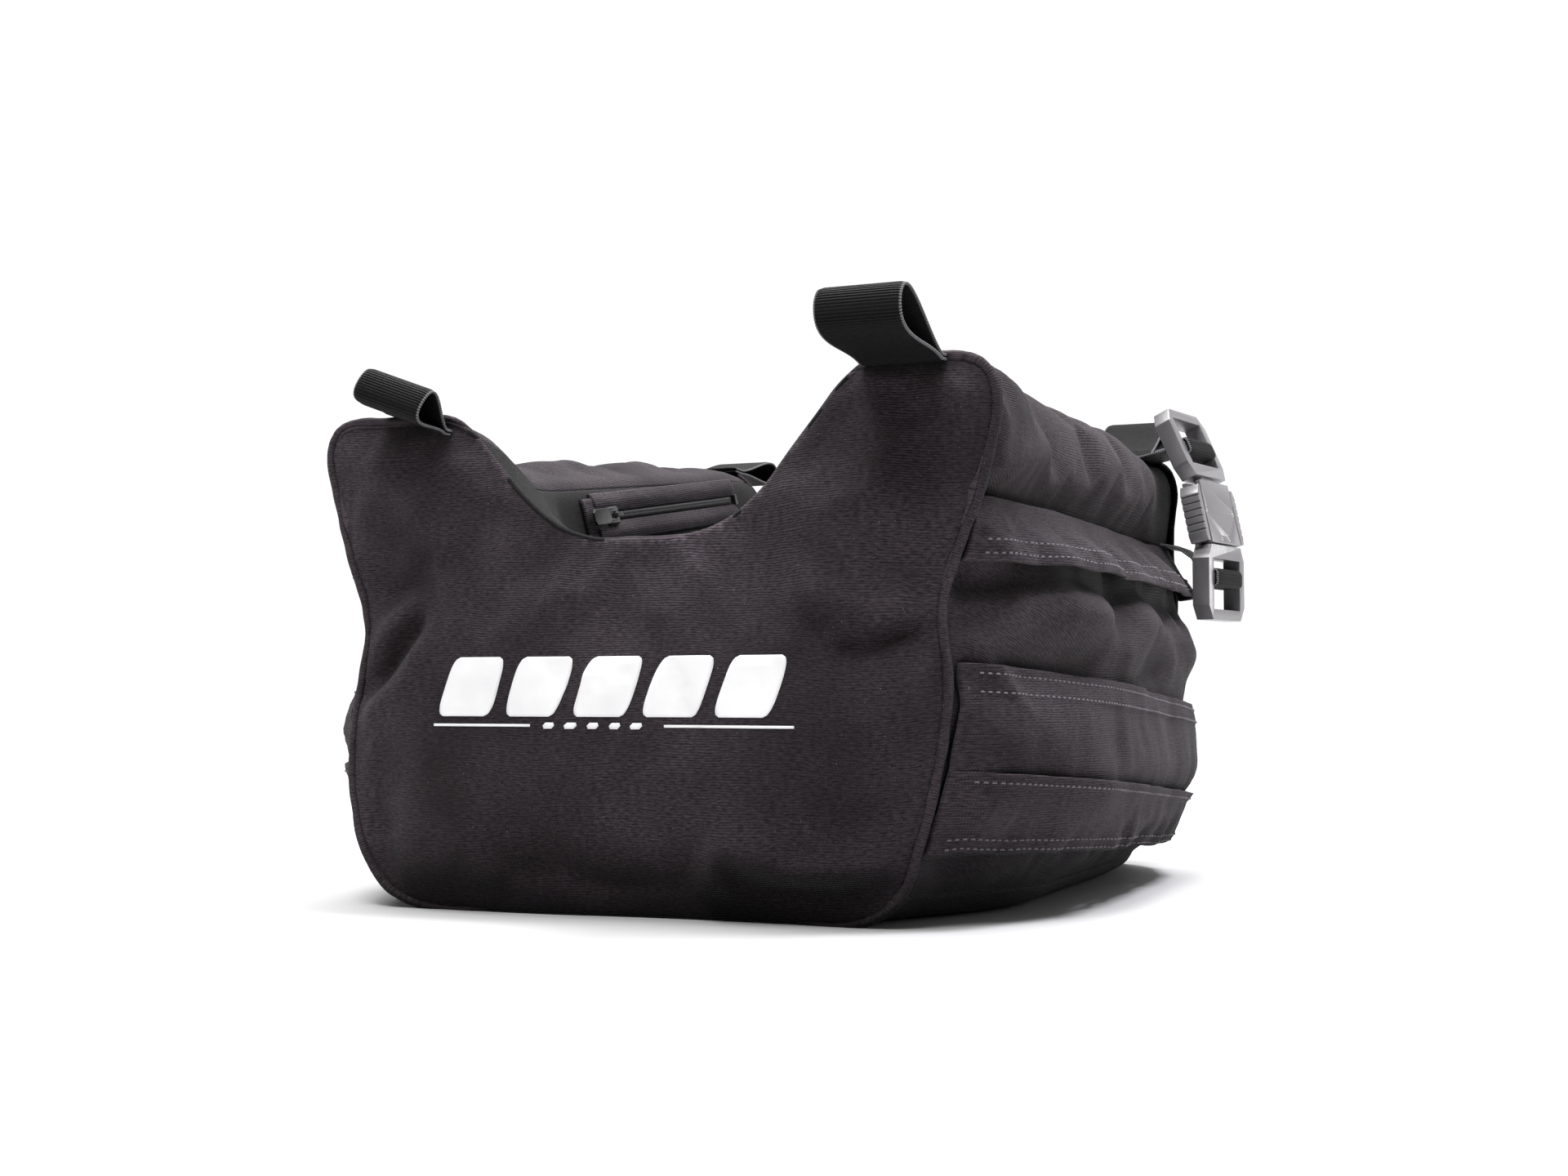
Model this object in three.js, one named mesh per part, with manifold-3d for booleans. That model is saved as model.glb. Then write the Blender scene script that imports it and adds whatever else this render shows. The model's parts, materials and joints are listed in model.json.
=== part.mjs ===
// Saddle-shaped support sandbag: canvas shell on inner fill bags, webbing loops, side pockets, zip and buckle.
// Millimetres, +Z up, +Y to the back, +X to the right. The origin is the centre of the base on the ground.
import * as THREE from 'three';
import { mergeVertices } from 'three/addons/utils/BufferGeometryUtils.js';
import Module from 'manifold-3d';

const wasm = await Module();
wasm.setup();

// Driving dimensions.
const HALF_DEPTH = 188;
const HORN_TOP = 243;
const TROUGH_FLOOR = 166;
const CLOTH = 3;
const GAP = 0.4;
const SEAM_HEIGHT = 186;
const FILL_CLEARANCE = 13;
const PIPING_RADIUS = 2.4;
const WEBBING_WIDTH = 38;
const WEBBING_THICK = 2;
const LOOP_HALF_THICK = 12;
const BLEND_STEPS = 3;

// The left ridge stands lower than the right one, most of all behind its front horn: its drop from front to back.
const LEFT_SAG = [[-HALF_DEPTH, 12], [-105, 33], [165, 0], [HALF_DEPTH, 0]];
// The middle section holds between these two stations and blends to the end sections outside them.
const MIDDLE_FROM = -75;
const MIDDLE_TO = 150;
const STATIONS = [-184.6, -165, -140, -108, MIDDLE_FROM, -30, 20, 70, 115, MIDDLE_TO, 170, 184.6];

// Half sections from the centre of the base round to the centre of the trough: x, z, length of the rounded corner.
const WALL_TOP_X = 108;
const WALL_BOTTOM_X = 94;
const FRONT_CORNERS = [
  [0, 0, 0], [120, 0, 28], [148, 80, 40], [142, 138, 12], [158, SEAM_HEIGHT, 14],
  [172, HORN_TOP, 26], [101, HORN_TOP, 14], [46, 171, 34], [0, 171, 0],
];
const MIDDLE_CORNERS = [
  [0, 0, 0], [160, 0, 26], [177, 100, 28], [178, 146, 14], [163, SEAM_HEIGHT, 12],
  [168, HORN_TOP, 30], [WALL_TOP_X, HORN_TOP, 14], [WALL_BOTTOM_X, TROUGH_FLOOR, 14], [0, TROUGH_FLOOR, 0],
];
const REAR_CORNERS = [
  [0, 0, 0], [152, 0, 28], [170, 100, 28], [170, 146, 14], [162, SEAM_HEIGHT, 14],
  [168, HORN_TOP, 28], [114, HORN_TOP, 14], [64, 171, 34], [0, 171, 0],
];
// Places along the half section, counted in its points.
const BASE_EDGE = 3;
const SEAM_POINT = 14.5;
const CREST_POINT = 23;
const CENTRE_POINT = 29;

// Zip on the inner slope of the left ridge.
const ZIP_START = new THREE.Vector2(-42, 195);
const ZIP_RISE_DEG = 8.4;
const ZIP_LENGTH = 186;
const TAPE_WIDTH = 11;
const COIL_WIDTH = 4.6;
const COIL_HEIGHT = 2.2;
const TAPE_THICK = 0.9;

// Buckle, in its own frame: x outwards, y across, z along.
const BUCKLE_AT = [195.5, 165, 184.5];
const BUCKLE_YAW_DEG = -11;
const BUCKLE_TILT_DEG = -12;
const FRAME_BEND_DEG = 12;
const BUCKLE_HALF_THICK = 5.5;
const PLATE_THICK = 2.7;
const PLATE_HALF_WIDTH = 21.5;
const PLATE_TOP = 38;
const FRAME_HALF_WIDTH = 27;
const FRAME_LENGTH = 43;
const SLOT_HALF_WIDTH = 20;
const CLIP_PIVOT = [20, 20];
const PIN_RADIUS = 1.5;
const PIN_HOLE_RADIUS = 1.8;
const BLADE_HALF_THICK = 2.2;

// Colours.
const CANVAS = [0x2c2629, 0.95, 0];
const LINING = [0x55504a, 0.95, 0];
const WEBBING = [0x171617, 0.8, 0];
const GRIP = [0x0b0b0b, 0.9, 0];
const METAL = [0x9b979b, 0.35, 0.9];
const STEEL = [0xb5b3b5, 0.3, 1];

const bag = new THREE.Group();
const radians = THREE.MathUtils.degToRad;

function add(name, geometry, [color, roughness, metalness], parent = bag) {
  const material = new THREE.MeshStandardMaterial({ color, roughness, metalness });
  const mesh = new THREE.Mesh(facingOut(geometry), material);
  mesh.name = name;
  parent.add(mesh);
  return mesh;
}

function welded(geometry) {
  geometry.deleteAttribute('normal');
  geometry.deleteAttribute('uv');
  return mergeVertices(geometry, 1e-4);
}

// Turns every face round when the enclosed volume comes out negative.
function facingOut(geometry) {
  const solid = welded(geometry);
  const p = solid.attributes.position;
  const index = solid.index.array;
  const [a, b, c] = [0, 1, 2].map(() => new THREE.Vector3());
  let volume = 0;
  for (let i = 0; i < index.length; i += 3) {
    a.fromBufferAttribute(p, index[i]);
    b.fromBufferAttribute(p, index[i + 1]);
    c.fromBufferAttribute(p, index[i + 2]);
    volume += a.dot(b.cross(c));
  }
  if (volume < 0) {
    for (let i = 0; i < index.length; i += 3) [index[i], index[i + 1]] = [index[i + 1], index[i]];
  }
  return solid;
}

function toManifold(geometry) {
  const solid = facingOut(geometry);
  const vertProperties = new Float32Array(solid.attributes.position.array);
  return new wasm.Manifold(new wasm.Mesh({ numProp: 3, vertProperties, triVerts: new Uint32Array(solid.index.array) }));
}

function fromManifold(solid) {
  const mesh = solid.getMesh();
  const geometry = new THREE.BufferGeometry();
  geometry.setAttribute('position', new THREE.BufferAttribute(mesh.vertProperties, 3));
  geometry.setIndex(new THREE.BufferAttribute(mesh.triVerts, 1));
  return geometry;
}

function join(...geometries) {
  return fromManifold(geometries.map(toManifold).reduce((whole, next) => whole.add(next)));
}

function cut(geometry, ...tools) {
  return fromManifold(tools.map(toManifold).reduce((left, tool) => left.subtract(tool), toManifold(geometry)));
}

// ---- Body section -------------------------------------------------------------------------------------------

function tableValue(table, y) {
  const next = table.findIndex(([at]) => at >= y);
  if (next <= 0) return table[Math.max(next, 0)][1];
  const [[y0, v0], [y1, v1]] = [table[next - 1], table[next]];
  return THREE.MathUtils.mapLinear(y, y0, y1, v0, v1);
}

// Corners of the half section at a station, with the left ridge's sag taken along its inner wall.
function cornersAt(y, side) {
  const front = y < MIDDLE_FROM;
  const end = front ? FRONT_CORNERS : REAR_CORNERS;
  const blend = front
    ? THREE.MathUtils.smoothstep(y, -HALF_DEPTH, MIDDLE_FROM)
    : 1 - THREE.MathUtils.smoothstep(y, MIDDLE_TO, HALF_DEPTH);
  const corners = MIDDLE_CORNERS.map((middle, k) => middle.map((v, i) => THREE.MathUtils.lerp(end[k][i], v, blend)));
  const sag = side < 0 ? tableValue(LEFT_SAG, y) : 0;
  const [shoulder, crest, foot] = [corners[5], corners[6], corners[7]];
  crest[0] += (foot[0] - crest[0]) * sag / (HORN_TOP - foot[1]);
  crest[1] -= sag;
  shoulder[1] -= sag;
  shoulder[2] = Math.min(shoulder[2], 0.5 * (shoulder[1] - SEAM_HEIGHT));
  return corners;
}

// Points of the half section: each corner is rounded by a short quadratic curve.
function sectionAt(y, side) {
  const corners = cornersAt(y, side).map(([x, z, r]) => ({ at: new THREE.Vector2(x, z), r }));
  return corners.flatMap(({ at, r }, k) => {
    if (r === 0) return [at];
    const start = at.clone().sub(corners[k - 1].at).setLength(-r).add(at);
    const end = corners[k + 1].at.clone().sub(at).setLength(r).add(at);
    return new THREE.QuadraticBezierCurve(start, at, end).getPoints(BLEND_STEPS);
  });
}

const sections = new Map();
function section(y, side) {
  const key = `${y} ${side}`;
  if (!sections.has(key)) sections.set(key, sectionAt(y, side));
  return sections.get(key);
}

// A point of the outline, u counted in section points; u past the centre line runs on to the other side.
function outline(u, y) {
  const wrapped = u > CENTRE_POINT ? u - 2 * CENTRE_POINT : u;
  const side = wrapped < 0 ? -1 : 1;
  const points = section(y, side);
  const whole = Math.min(Math.floor(Math.abs(wrapped)), points.length - 2);
  const p = points[whole].clone().lerp(points[whole + 1], Math.abs(wrapped) - whole);
  return p.setX(side * p.x);
}

// Unit normal of the outline, pointing out of the bag.
function outwards(u, y) {
  const step = 0.05;
  const along = outline(u + step, y).sub(outline(u - step, y)).normalize();
  return new THREE.Vector2(along.y, -along.x);
}

// Distance from the middle plane to the outer face of the bag, and to the trough wall, at a height.
function crossing(points, z) {
  const next = points.findIndex((p, i) => i > 0 && (points[i - 1].y - z) * (p.y - z) <= 0);
  const [p, q] = [points[next - 1], points[next]];
  return THREE.MathUtils.mapLinear(z, p.y, q.y, p.x, q.x);
}
const outerX = (y, z, side) => crossing(section(y, side).slice(1, 21), z);
const innerX = (y, z, side) => crossing(section(y, side).slice(21, CENTRE_POINT), z);

// ---- Solids from grids --------------------------------------------------------------------------------------

// A sheet with thickness: two grids of points, rows by columns, closed round their four edges.
function thickSheet(outer, inner) {
  const [rows, columns] = [outer.length, outer[0].length];
  const points = [...outer.flat(), ...inner.flat()];
  const at = (layer, i, j) => layer * rows * columns + i * columns + j;
  const index = [];
  const quad = (a, b, c, d) => index.push(a, b, c, a, c, d);
  for (let i = 0; i < rows - 1; i++) {
    for (let j = 0; j < columns - 1; j++) {
      quad(at(0, i, j), at(0, i + 1, j), at(0, i + 1, j + 1), at(0, i, j + 1));
      quad(at(1, i, j), at(1, i, j + 1), at(1, i + 1, j + 1), at(1, i + 1, j));
    }
  }
  for (let i = 0; i < rows - 1; i++) {
    quad(at(0, i, 0), at(1, i, 0), at(1, i + 1, 0), at(0, i + 1, 0));
    quad(at(0, i, columns - 1), at(0, i + 1, columns - 1), at(1, i + 1, columns - 1), at(1, i, columns - 1));
  }
  for (let j = 0; j < columns - 1; j++) {
    quad(at(0, 0, j), at(0, 0, j + 1), at(1, 0, j + 1), at(1, 0, j));
    quad(at(0, rows - 1, j), at(1, rows - 1, j), at(1, rows - 1, j + 1), at(0, rows - 1, j + 1));
  }
  return indexed(points, index);
}

// A solid lofted through closed rings that all have the same number of points, given from front to back.
function loft(given) {
  const flatRing = (ring) => ring.map((p) => new THREE.Vector2(p.x, p.z));
  const rings = THREE.ShapeUtils.isClockWise(flatRing(given[0])) ? given.map((ring) => [...ring].reverse()) : given;
  const count = rings[0].length;
  const index = [];
  for (let r = 0; r < rings.length - 1; r++) {
    for (let k = 0; k < count; k++) {
      const [a, b] = [r * count + k, r * count + (k + 1) % count];
      index.push(a, b + count, b, a, a + count, b + count);
    }
  }
  const last = (rings.length - 1) * count;
  for (const [a, b, c] of THREE.ShapeUtils.triangulateShape(flatRing(rings[0]), [])) {
    index.push(a, b, c, last + a, last + c, last + b);
  }
  return indexed(rings.flat(), index);
}

function indexed(points, index) {
  const geometry = new THREE.BufferGeometry().setFromPoints(points);
  geometry.setIndex(index);
  return geometry;
}

// ---- Canvas shell -------------------------------------------------------------------------------------------

function panelPlaces(from, to) {
  const whole = [];
  for (let u = Math.ceil(from + 0.3); u < to - 0.3; u++) whole.push(u);
  return [from, ...whole, to];
}

// One strip of the shell between two places on the outline, pulled in a little at both edges for the seam.
function shellPanel(from, to) {
  const places = panelPlaces(from, to);
  const rows = (depth) => places.map((u, i) => STATIONS.map((y) => {
    const p = outline(u, y).addScaledVector(outwards(u, y), -depth);
    const neighbour = i === 0 ? places[1] : i === places.length - 1 ? places[i - 1] : u;
    const inward = outline(neighbour, y).sub(outline(u, y));
    if (neighbour !== u) p.add(inward.setLength(GAP / 2));
    return new THREE.Vector3(p.x, y, p.y);
  }));
  return thickSheet(rows(0), rows(CLOTH));
}

function endPanel(endY) {
  const right = section(endY, 1);
  const left = section(endY, -1).slice(1, -1).reverse().map((p) => new THREE.Vector2(-p.x, p.y));
  const shape = new THREE.Shape([...right, ...left]);
  return new THREE.ExtrudeGeometry(shape, { depth: CLOTH, bevelEnabled: false }).rotateX(Math.PI / 2);
}

add('base_panel', shellPanel(-BASE_EDGE, BASE_EDGE), CANVAS);
add('right_side_panel', shellPanel(BASE_EDGE, SEAM_POINT), CANVAS);
add('left_side_panel', shellPanel(-SEAM_POINT, -BASE_EDGE), CANVAS);
add('right_ridge_panel', shellPanel(SEAM_POINT, CREST_POINT), CANVAS);
add('left_ridge_panel', shellPanel(-CREST_POINT, -SEAM_POINT), CANVAS);
add('trough_panel', shellPanel(CREST_POINT, 2 * CENTRE_POINT - CREST_POINT), GRIP);
add('front_panel', endPanel(-HALF_DEPTH).translate(0, -HALF_DEPTH + CLOTH, 0), CANVAS);
add('rear_panel', endPanel(HALF_DEPTH).translate(0, HALF_DEPTH, 0), CANVAS);

// Piping stands just outside the corner between an end panel and the shell, from the ridge's inner edge to the base.
function piping(endY, side) {
  const reach = PIPING_RADIUS + GAP;
  const points = [];
  for (let u = CREST_POINT; u >= BASE_EDGE + 1; u--) {
    const p = outline(side * u, endY).addScaledVector(outwards(side * u, endY), reach);
    points.push(new THREE.Vector3(p.x, endY - Math.sign(endY) * PIPING_RADIUS, p.y));
  }
  const path = new THREE.CatmullRomCurve3(points, false, 'centripetal');
  const ring = new THREE.EllipseCurve(0, 0, PIPING_RADIUS, PIPING_RADIUS).getPoints(6).slice(0, 6);
  return new THREE.ExtrudeGeometry(new THREE.Shape(ring), { steps: 30, extrudePath: path });
}

// ---- Bands and pockets on the sides ------------------------------------------------------------------------

const BAND_THICK = 2.2;
const BAND_ROWS = 6;
const BAND_STATIONS = [-181, ...STATIONS.slice(1, -1), 178];

// A band on a side: its top and bottom heights and its distance off the panel run linearly front to back and down.
function sideBand(side, { top, bottom, offTop, offBottom }) {
  const along = (pair, y) => THREE.MathUtils.mapLinear(y, -HALF_DEPTH, HALF_DEPTH, pair[0], pair[1]);
  const face = (thick) => Array.from({ length: BAND_ROWS + 1 }, (_, i) => BAND_STATIONS.map((y) => {
    const down = i / BAND_ROWS;
    const z = THREE.MathUtils.lerp(along(top, y), along(bottom, y), down);
    const off = THREE.MathUtils.lerp(offTop, offBottom, down);
    return new THREE.Vector3(side * (outerX(y, z, side) + off + thick), y, z);
  }));
  return thickSheet(face(BAND_THICK), face(0));
}

const WING_BAND = { top: [SEAM_HEIGHT - 1, SEAM_HEIGHT - 1], bottom: [157, 157], offTop: 0.8, offBottom: 6 };
const SIDE_POCKET = { top: [114, 90], bottom: [30, 26], offTop: 4, offBottom: 1.4 };
const LOWER_BAND = { top: [68, 44], bottom: [33, 20], offTop: 8, offBottom: 6 };

// ---- Webbing loops on the horns ----------------------------------------------------------------------------

// A teardrop of webbing in the YZ plane, as wide as the webbing along X, with its sewn root at the origin.
function webbingLoop(length) {
  const teardrop = (root, halfWidth, tip, start) => {
    const path = new THREE.Path();
    path.moveTo(-root, start);
    path.bezierCurveTo(-root, start + tip * 0.35, -halfWidth * 1.35, tip * 0.95, 0, tip);
    path.bezierCurveTo(halfWidth * 1.35, tip * 0.95, root, start + tip * 0.35, root, start);
    return path;
  };
  const outer = teardrop(WEBBING_THICK * 0.8, LOOP_HALF_THICK, length, 0);
  const hole = teardrop(0.6, LOOP_HALF_THICK - WEBBING_THICK, length - WEBBING_THICK, length * 0.24);
  const shape = new THREE.Shape(outer.getPoints(8));
  shape.holes.push(new THREE.Path(hole.getPoints(8).reverse()));
  const geometry = new THREE.ExtrudeGeometry(shape, { depth: WEBBING_WIDTH, bevelEnabled: false });
  geometry.translate(0, 0, -WEBBING_WIDTH / 2);
  const upright = new THREE.Matrix4();
  upright.makeBasis(new THREE.Vector3(0, 1, 0), new THREE.Vector3(0, 0, 1), new THREE.Vector3(1, 0, 0));
  return geometry.applyMatrix4(upright);
}

const LOOP_ROOT_Y = HALF_DEPTH + 1.6;
// Name, root's centre along X and Z, which end, lean out from upright, slope of the root, and length.
const LOOPS = [
  ['front_left_loop', -118, 233, -1, 65, 20, 30],
  ['front_right_loop', 129, 245, -1, 66, 0, 58],
  ['rear_left_loop', -136, 245, 1, 85, 0, 58],
  ['rear_right_loop', 134, 245, 1, 70, 0, 58],
];

for (const side of [-1, 1]) {
  const hand = side < 0 ? 'left' : 'right';
  add(`${hand}_wing_band`, sideBand(side, WING_BAND), CANVAS);
  add(`${hand}_side_pocket`, sideBand(side, SIDE_POCKET), CANVAS);
  add(`${hand}_lower_band`, sideBand(side, LOWER_BAND), CANVAS);
  add(`front_${hand}_piping`, piping(-HALF_DEPTH, side), CANVAS);
  add(`rear_${hand}_piping`, piping(HALF_DEPTH, side), CANVAS);
}
for (const [name, x, z, end, lean, slope, length] of LOOPS) {
  const loop = add(name, webbingLoop(length), WEBBING);
  loop.position.set(x, end * LOOP_ROOT_Y, z);
  loop.rotation.set(radians(-end * lean), radians(slope), 0, 'YXZ');
}

// ---- Inner fill bags ----------------------------------------------------------------------------------------

const FILL_STATIONS = [-176, ...STATIONS.slice(1, -1), 176];

// A ring at a station from heights and the two sides' distances at each height.
function fillRing(y, heights, leftX, rightX) {
  const right = heights.map((z) => new THREE.Vector3(rightX(z), y, z));
  const left = heights.map((z) => new THREE.Vector3(leftX(z), y, z)).reverse();
  return [...right, ...left];
}

const BASE_FILL_HEIGHTS = [9, 30, 80, 138, 154];
add('base_fill_bag', loft(FILL_STATIONS.map((y) => fillRing(y, BASE_FILL_HEIGHTS,
  (z) => -outerX(y, z, -1) + FILL_CLEARANCE, (z) => outerX(y, z, 1) - FILL_CLEARANCE))), LINING);

const RIDGE_FILL_FLOOR = 182;
for (const side of [-1, 1]) {
  const rings = FILL_STATIONS.map((y) => {
    const top = HORN_TOP - FILL_CLEARANCE - (side < 0 ? tableValue(LEFT_SAG, y) : 0);
    const heights = [0, 0.3, 0.75, 1].map((t) => THREE.MathUtils.lerp(RIDGE_FILL_FLOOR, top, t));
    const wall = (z) => side * (innerX(y, z, side) + FILL_CLEARANCE);
    return fillRing(y, heights, wall, (z) => side * (outerX(y, z, side) - FILL_CLEARANCE));
  });
  add(`${side < 0 ? 'left' : 'right'}_ridge_fill_bag`, loft(rings), LINING);
}

// ---- Zip ----------------------------------------------------------------------------------------------------

// The zip's frame: x along it towards the back, y up the slope, z out of the slope into the trough.
const wallLean = Math.atan2(WALL_TOP_X - WALL_BOTTOM_X, HORN_TOP - TROUGH_FLOOR);
const rise = radians(ZIP_RISE_DEG);
const slopeUp = new THREE.Vector3(-Math.sin(wallLean), 0, Math.cos(wallLean));
const slopeOut = new THREE.Vector3(Math.cos(wallLean), 0, Math.sin(wallLean));
const zipAlong = new THREE.Vector3(0, Math.cos(rise), 0).addScaledVector(slopeUp, Math.sin(rise));
const zipUp = new THREE.Vector3().crossVectors(slopeOut, zipAlong);
const zip = new THREE.Group();
zip.applyMatrix4(new THREE.Matrix4().makeBasis(zipAlong, zipUp, slopeOut));
const wallX = WALL_BOTTOM_X + (ZIP_START.y - TROUGH_FLOOR) * Math.tan(wallLean);
zip.position.set(-wallX, ZIP_START.x, ZIP_START.y);
bag.add(zip);

function zipBox(length, width, height, x, y, z) {
  return new THREE.BoxGeometry(length, width, height).translate(x + length / 2, y, z + height / 2);
}

const tapeMiddle = COIL_WIDTH / 2 + GAP + TAPE_WIDTH / 2;
add('zip_upper_tape', zipBox(ZIP_LENGTH, TAPE_WIDTH, TAPE_THICK, 0, tapeMiddle, GAP), WEBBING, zip);
add('zip_lower_tape', zipBox(ZIP_LENGTH, TAPE_WIDTH, TAPE_THICK, 0, -tapeMiddle, GAP), WEBBING, zip);
add('zip_coil', zipBox(ZIP_LENGTH - 8, COIL_WIDTH, COIL_HEIGHT, 4, 0, GAP), GRIP, zip);
add('zip_rear_stop', zipBox(3, COIL_WIDTH + 2, 2.4, ZIP_LENGTH + GAP, 0, GAP), STEEL, zip);
add('zip_garage', zipBox(16, 2 * TAPE_WIDTH, 1.6, -16 - GAP, 0, GAP), CANVAS, zip);

// The slider is a channel over the coil with a bridge on top; the puller turns on the bridge.
const SLIDER_LENGTH = 11;
const SLIDER_START = 6;
const channel = new THREE.Shape();
channel.moveTo(-5, 1.7);
channel.lineTo(-3, 1.7);
channel.lineTo(-3, 3);
channel.lineTo(3, 3);
channel.lineTo(3, 1.7);
channel.lineTo(5, 1.7);
channel.lineTo(5, 3.8);
channel.lineTo(4, 4.6);
channel.lineTo(-4, 4.6);
channel.lineTo(-5, 3.8);
const alongZip = new THREE.Matrix4();
alongZip.makeBasis(new THREE.Vector3(0, 1, 0), new THREE.Vector3(0, 0, 1), new THREE.Vector3(1, 0, 0));
const sliderBody = new THREE.ExtrudeGeometry(channel, { depth: SLIDER_LENGTH, bevelEnabled: false });
sliderBody.applyMatrix4(alongZip).translate(SLIDER_START, 0, 0);
const BRIDGE_HALF_WIDTH = 1.1;
const bridge = new THREE.Shape();
bridge.moveTo(0.5, 4.2);
bridge.lineTo(10.5, 4.2);
bridge.lineTo(9, 8.4);
bridge.lineTo(2, 8.4);
const bridgeHole = new THREE.Path();
bridgeHole.moveTo(2.2, 5);
bridgeHole.lineTo(8.8, 5);
bridgeHole.lineTo(8.2, 7.4);
bridgeHole.lineTo(2.8, 7.4);
bridge.holes.push(bridgeHole);
const bridgeBody = new THREE.ExtrudeGeometry(bridge, { depth: 2 * BRIDGE_HALF_WIDTH, bevelEnabled: false });
bridgeBody.translate(0, 0, -BRIDGE_HALF_WIDTH).rotateX(Math.PI / 2).translate(SLIDER_START, 0, 0);
add('zip_slider', join(sliderBody, bridgeBody), METAL, zip);

// The puller's eye passes through the bridge, and its tab lies forwards over the garage.
const PULLER_LENGTH = 26;
const PULLER_PIVOT = [SLIDER_START + 3.9, 6.2];
const puller = new THREE.Shape();
puller.moveTo(0.8, -3);
puller.lineTo(0.8, 3);
puller.lineTo(-7, 3);
puller.lineTo(-9, 4.4);
puller.lineTo(-PULLER_LENGTH + 2, 4.4);
puller.lineTo(-PULLER_LENGTH, 2.4);
puller.lineTo(-PULLER_LENGTH, -2.4);
puller.lineTo(-PULLER_LENGTH + 2, -4.4);
puller.lineTo(-9, -4.4);
puller.lineTo(-7, -3);
const eye = new THREE.Path();
eye.moveTo(-0.8, -1.7);
eye.lineTo(-0.8, 1.7);
eye.lineTo(-6, 1.7);
eye.lineTo(-6, -1.7);
puller.holes.push(eye);
const pullerBody = new THREE.ExtrudeGeometry(puller, { depth: 1.4, bevelEnabled: false }).translate(0, 0, -0.7);
add('zip_puller', pullerBody, METAL, zip).position.set(PULLER_PIVOT[0], 0, PULLER_PIVOT[1]);

// ---- Buckle -------------------------------------------------------------------------------------------------

const buckleTurn = new THREE.Group();
buckleTurn.position.set(...BUCKLE_AT);
buckleTurn.rotation.z = radians(BUCKLE_YAW_DEG);
const buckle = new THREE.Group();
buckle.rotation.y = radians(BUCKLE_TILT_DEG);
buckleTurn.add(buckle);
bag.add(buckleTurn);

// An outline of (across, along) points made into a plate between two depths.
function plate(points, from, to) {
  const shape = new THREE.Shape(points.map(([w, l]) => new THREE.Vector2(w, l)));
  const geometry = new THREE.ExtrudeGeometry(shape, { depth: to - from, bevelEnabled: false });
  return geometry.applyMatrix4(alongZip).translate(from, 0, 0);
}
const rectangle = (halfWidth, low, high) => [[-halfWidth, low], [halfWidth, low], [halfWidth, high], [-halfWidth, high]];

function pin(across, along, radius, halfLength) {
  return new THREE.CylinderGeometry(radius, radius, 2 * halfLength, 12)
    .rotateZ(Math.PI / 2).translate(0, across, along);
}

// A strap frame above its root line: two slots with the strap's bar between them, bent towards the bag.
const BAR = [16, 22];
function strapFrame(direction) {
  const outlinePoints = [
    [-FRAME_HALF_WIDTH + 5, 0], [FRAME_HALF_WIDTH - 5, 0], [FRAME_HALF_WIDTH, 8], [FRAME_HALF_WIDTH, FRAME_LENGTH - 8],
    [FRAME_HALF_WIDTH - 6, FRAME_LENGTH], [-FRAME_HALF_WIDTH + 6, FRAME_LENGTH],
    [-FRAME_HALF_WIDTH, FRAME_LENGTH - 8], [-FRAME_HALF_WIDTH, 8],
  ];
  const body = plate(outlinePoints, -BUCKLE_HALF_THICK + 0.5, BUCKLE_HALF_THICK - 0.5);
  const nearSlot = plate(rectangle(SLOT_HALF_WIDTH, 8, BAR[0]), -9, 9);
  const farSlot = plate(rectangle(SLOT_HALF_WIDTH, BAR[1], FRAME_LENGTH - 6), -9, 9);
  const frame = cut(body, nearSlot, farSlot);
  return direction > 0 ? frame : frame.scale(1, 1, -1);
}

// Webbing wrapped once round a strap frame's bar.
function barWrap(direction) {
  const clear = 0.6;
  const [x, low, high] = [BUCKLE_HALF_THICK - 0.5 + clear, BAR[0] - clear, BAR[1] + clear];
  const t = WEBBING_THICK;
  const corners = (grow, chamfer) => [
    [-x - grow + chamfer, low - grow], [x + grow - chamfer, low - grow], [x + grow, low - grow + chamfer],
    [x + grow, high + grow - chamfer], [x + grow - chamfer, high + grow], [-x - grow + chamfer, high + grow],
    [-x - grow, high + grow - chamfer], [-x - grow, low - grow + chamfer],
  ].map(([a, b]) => new THREE.Vector2(a, b));
  const shape = new THREE.Shape(corners(t, 2));
  shape.holes.push(new THREE.Path(corners(0, 0.5)));
  const geometry = new THREE.ExtrudeGeometry(shape, { depth: WEBBING_WIDTH, bevelEnabled: false });
  return geometry.translate(0, 0, -WEBBING_WIDTH / 2).rotateX(Math.PI / 2).scale(1, 1, direction);
}

const bend = (geometry, along, degrees) => geometry.rotateY(radians(degrees)).translate(0, 0, along);
const LOWER_FRAME_AT = 1;
const UPPER_FRAME_AT = PLATE_TOP + 1.5;
const pivotPlaces = [-1, 1].map((s) => [s * CLIP_PIVOT[0], CLIP_PIVOT[1]]);
const rivetPlaces = [-1, 1].map((s) => [s * 5, 4]);
const holeTools = (radius, places) => places.map(([w, l]) => pin(w, l, radius, 12));

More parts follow.
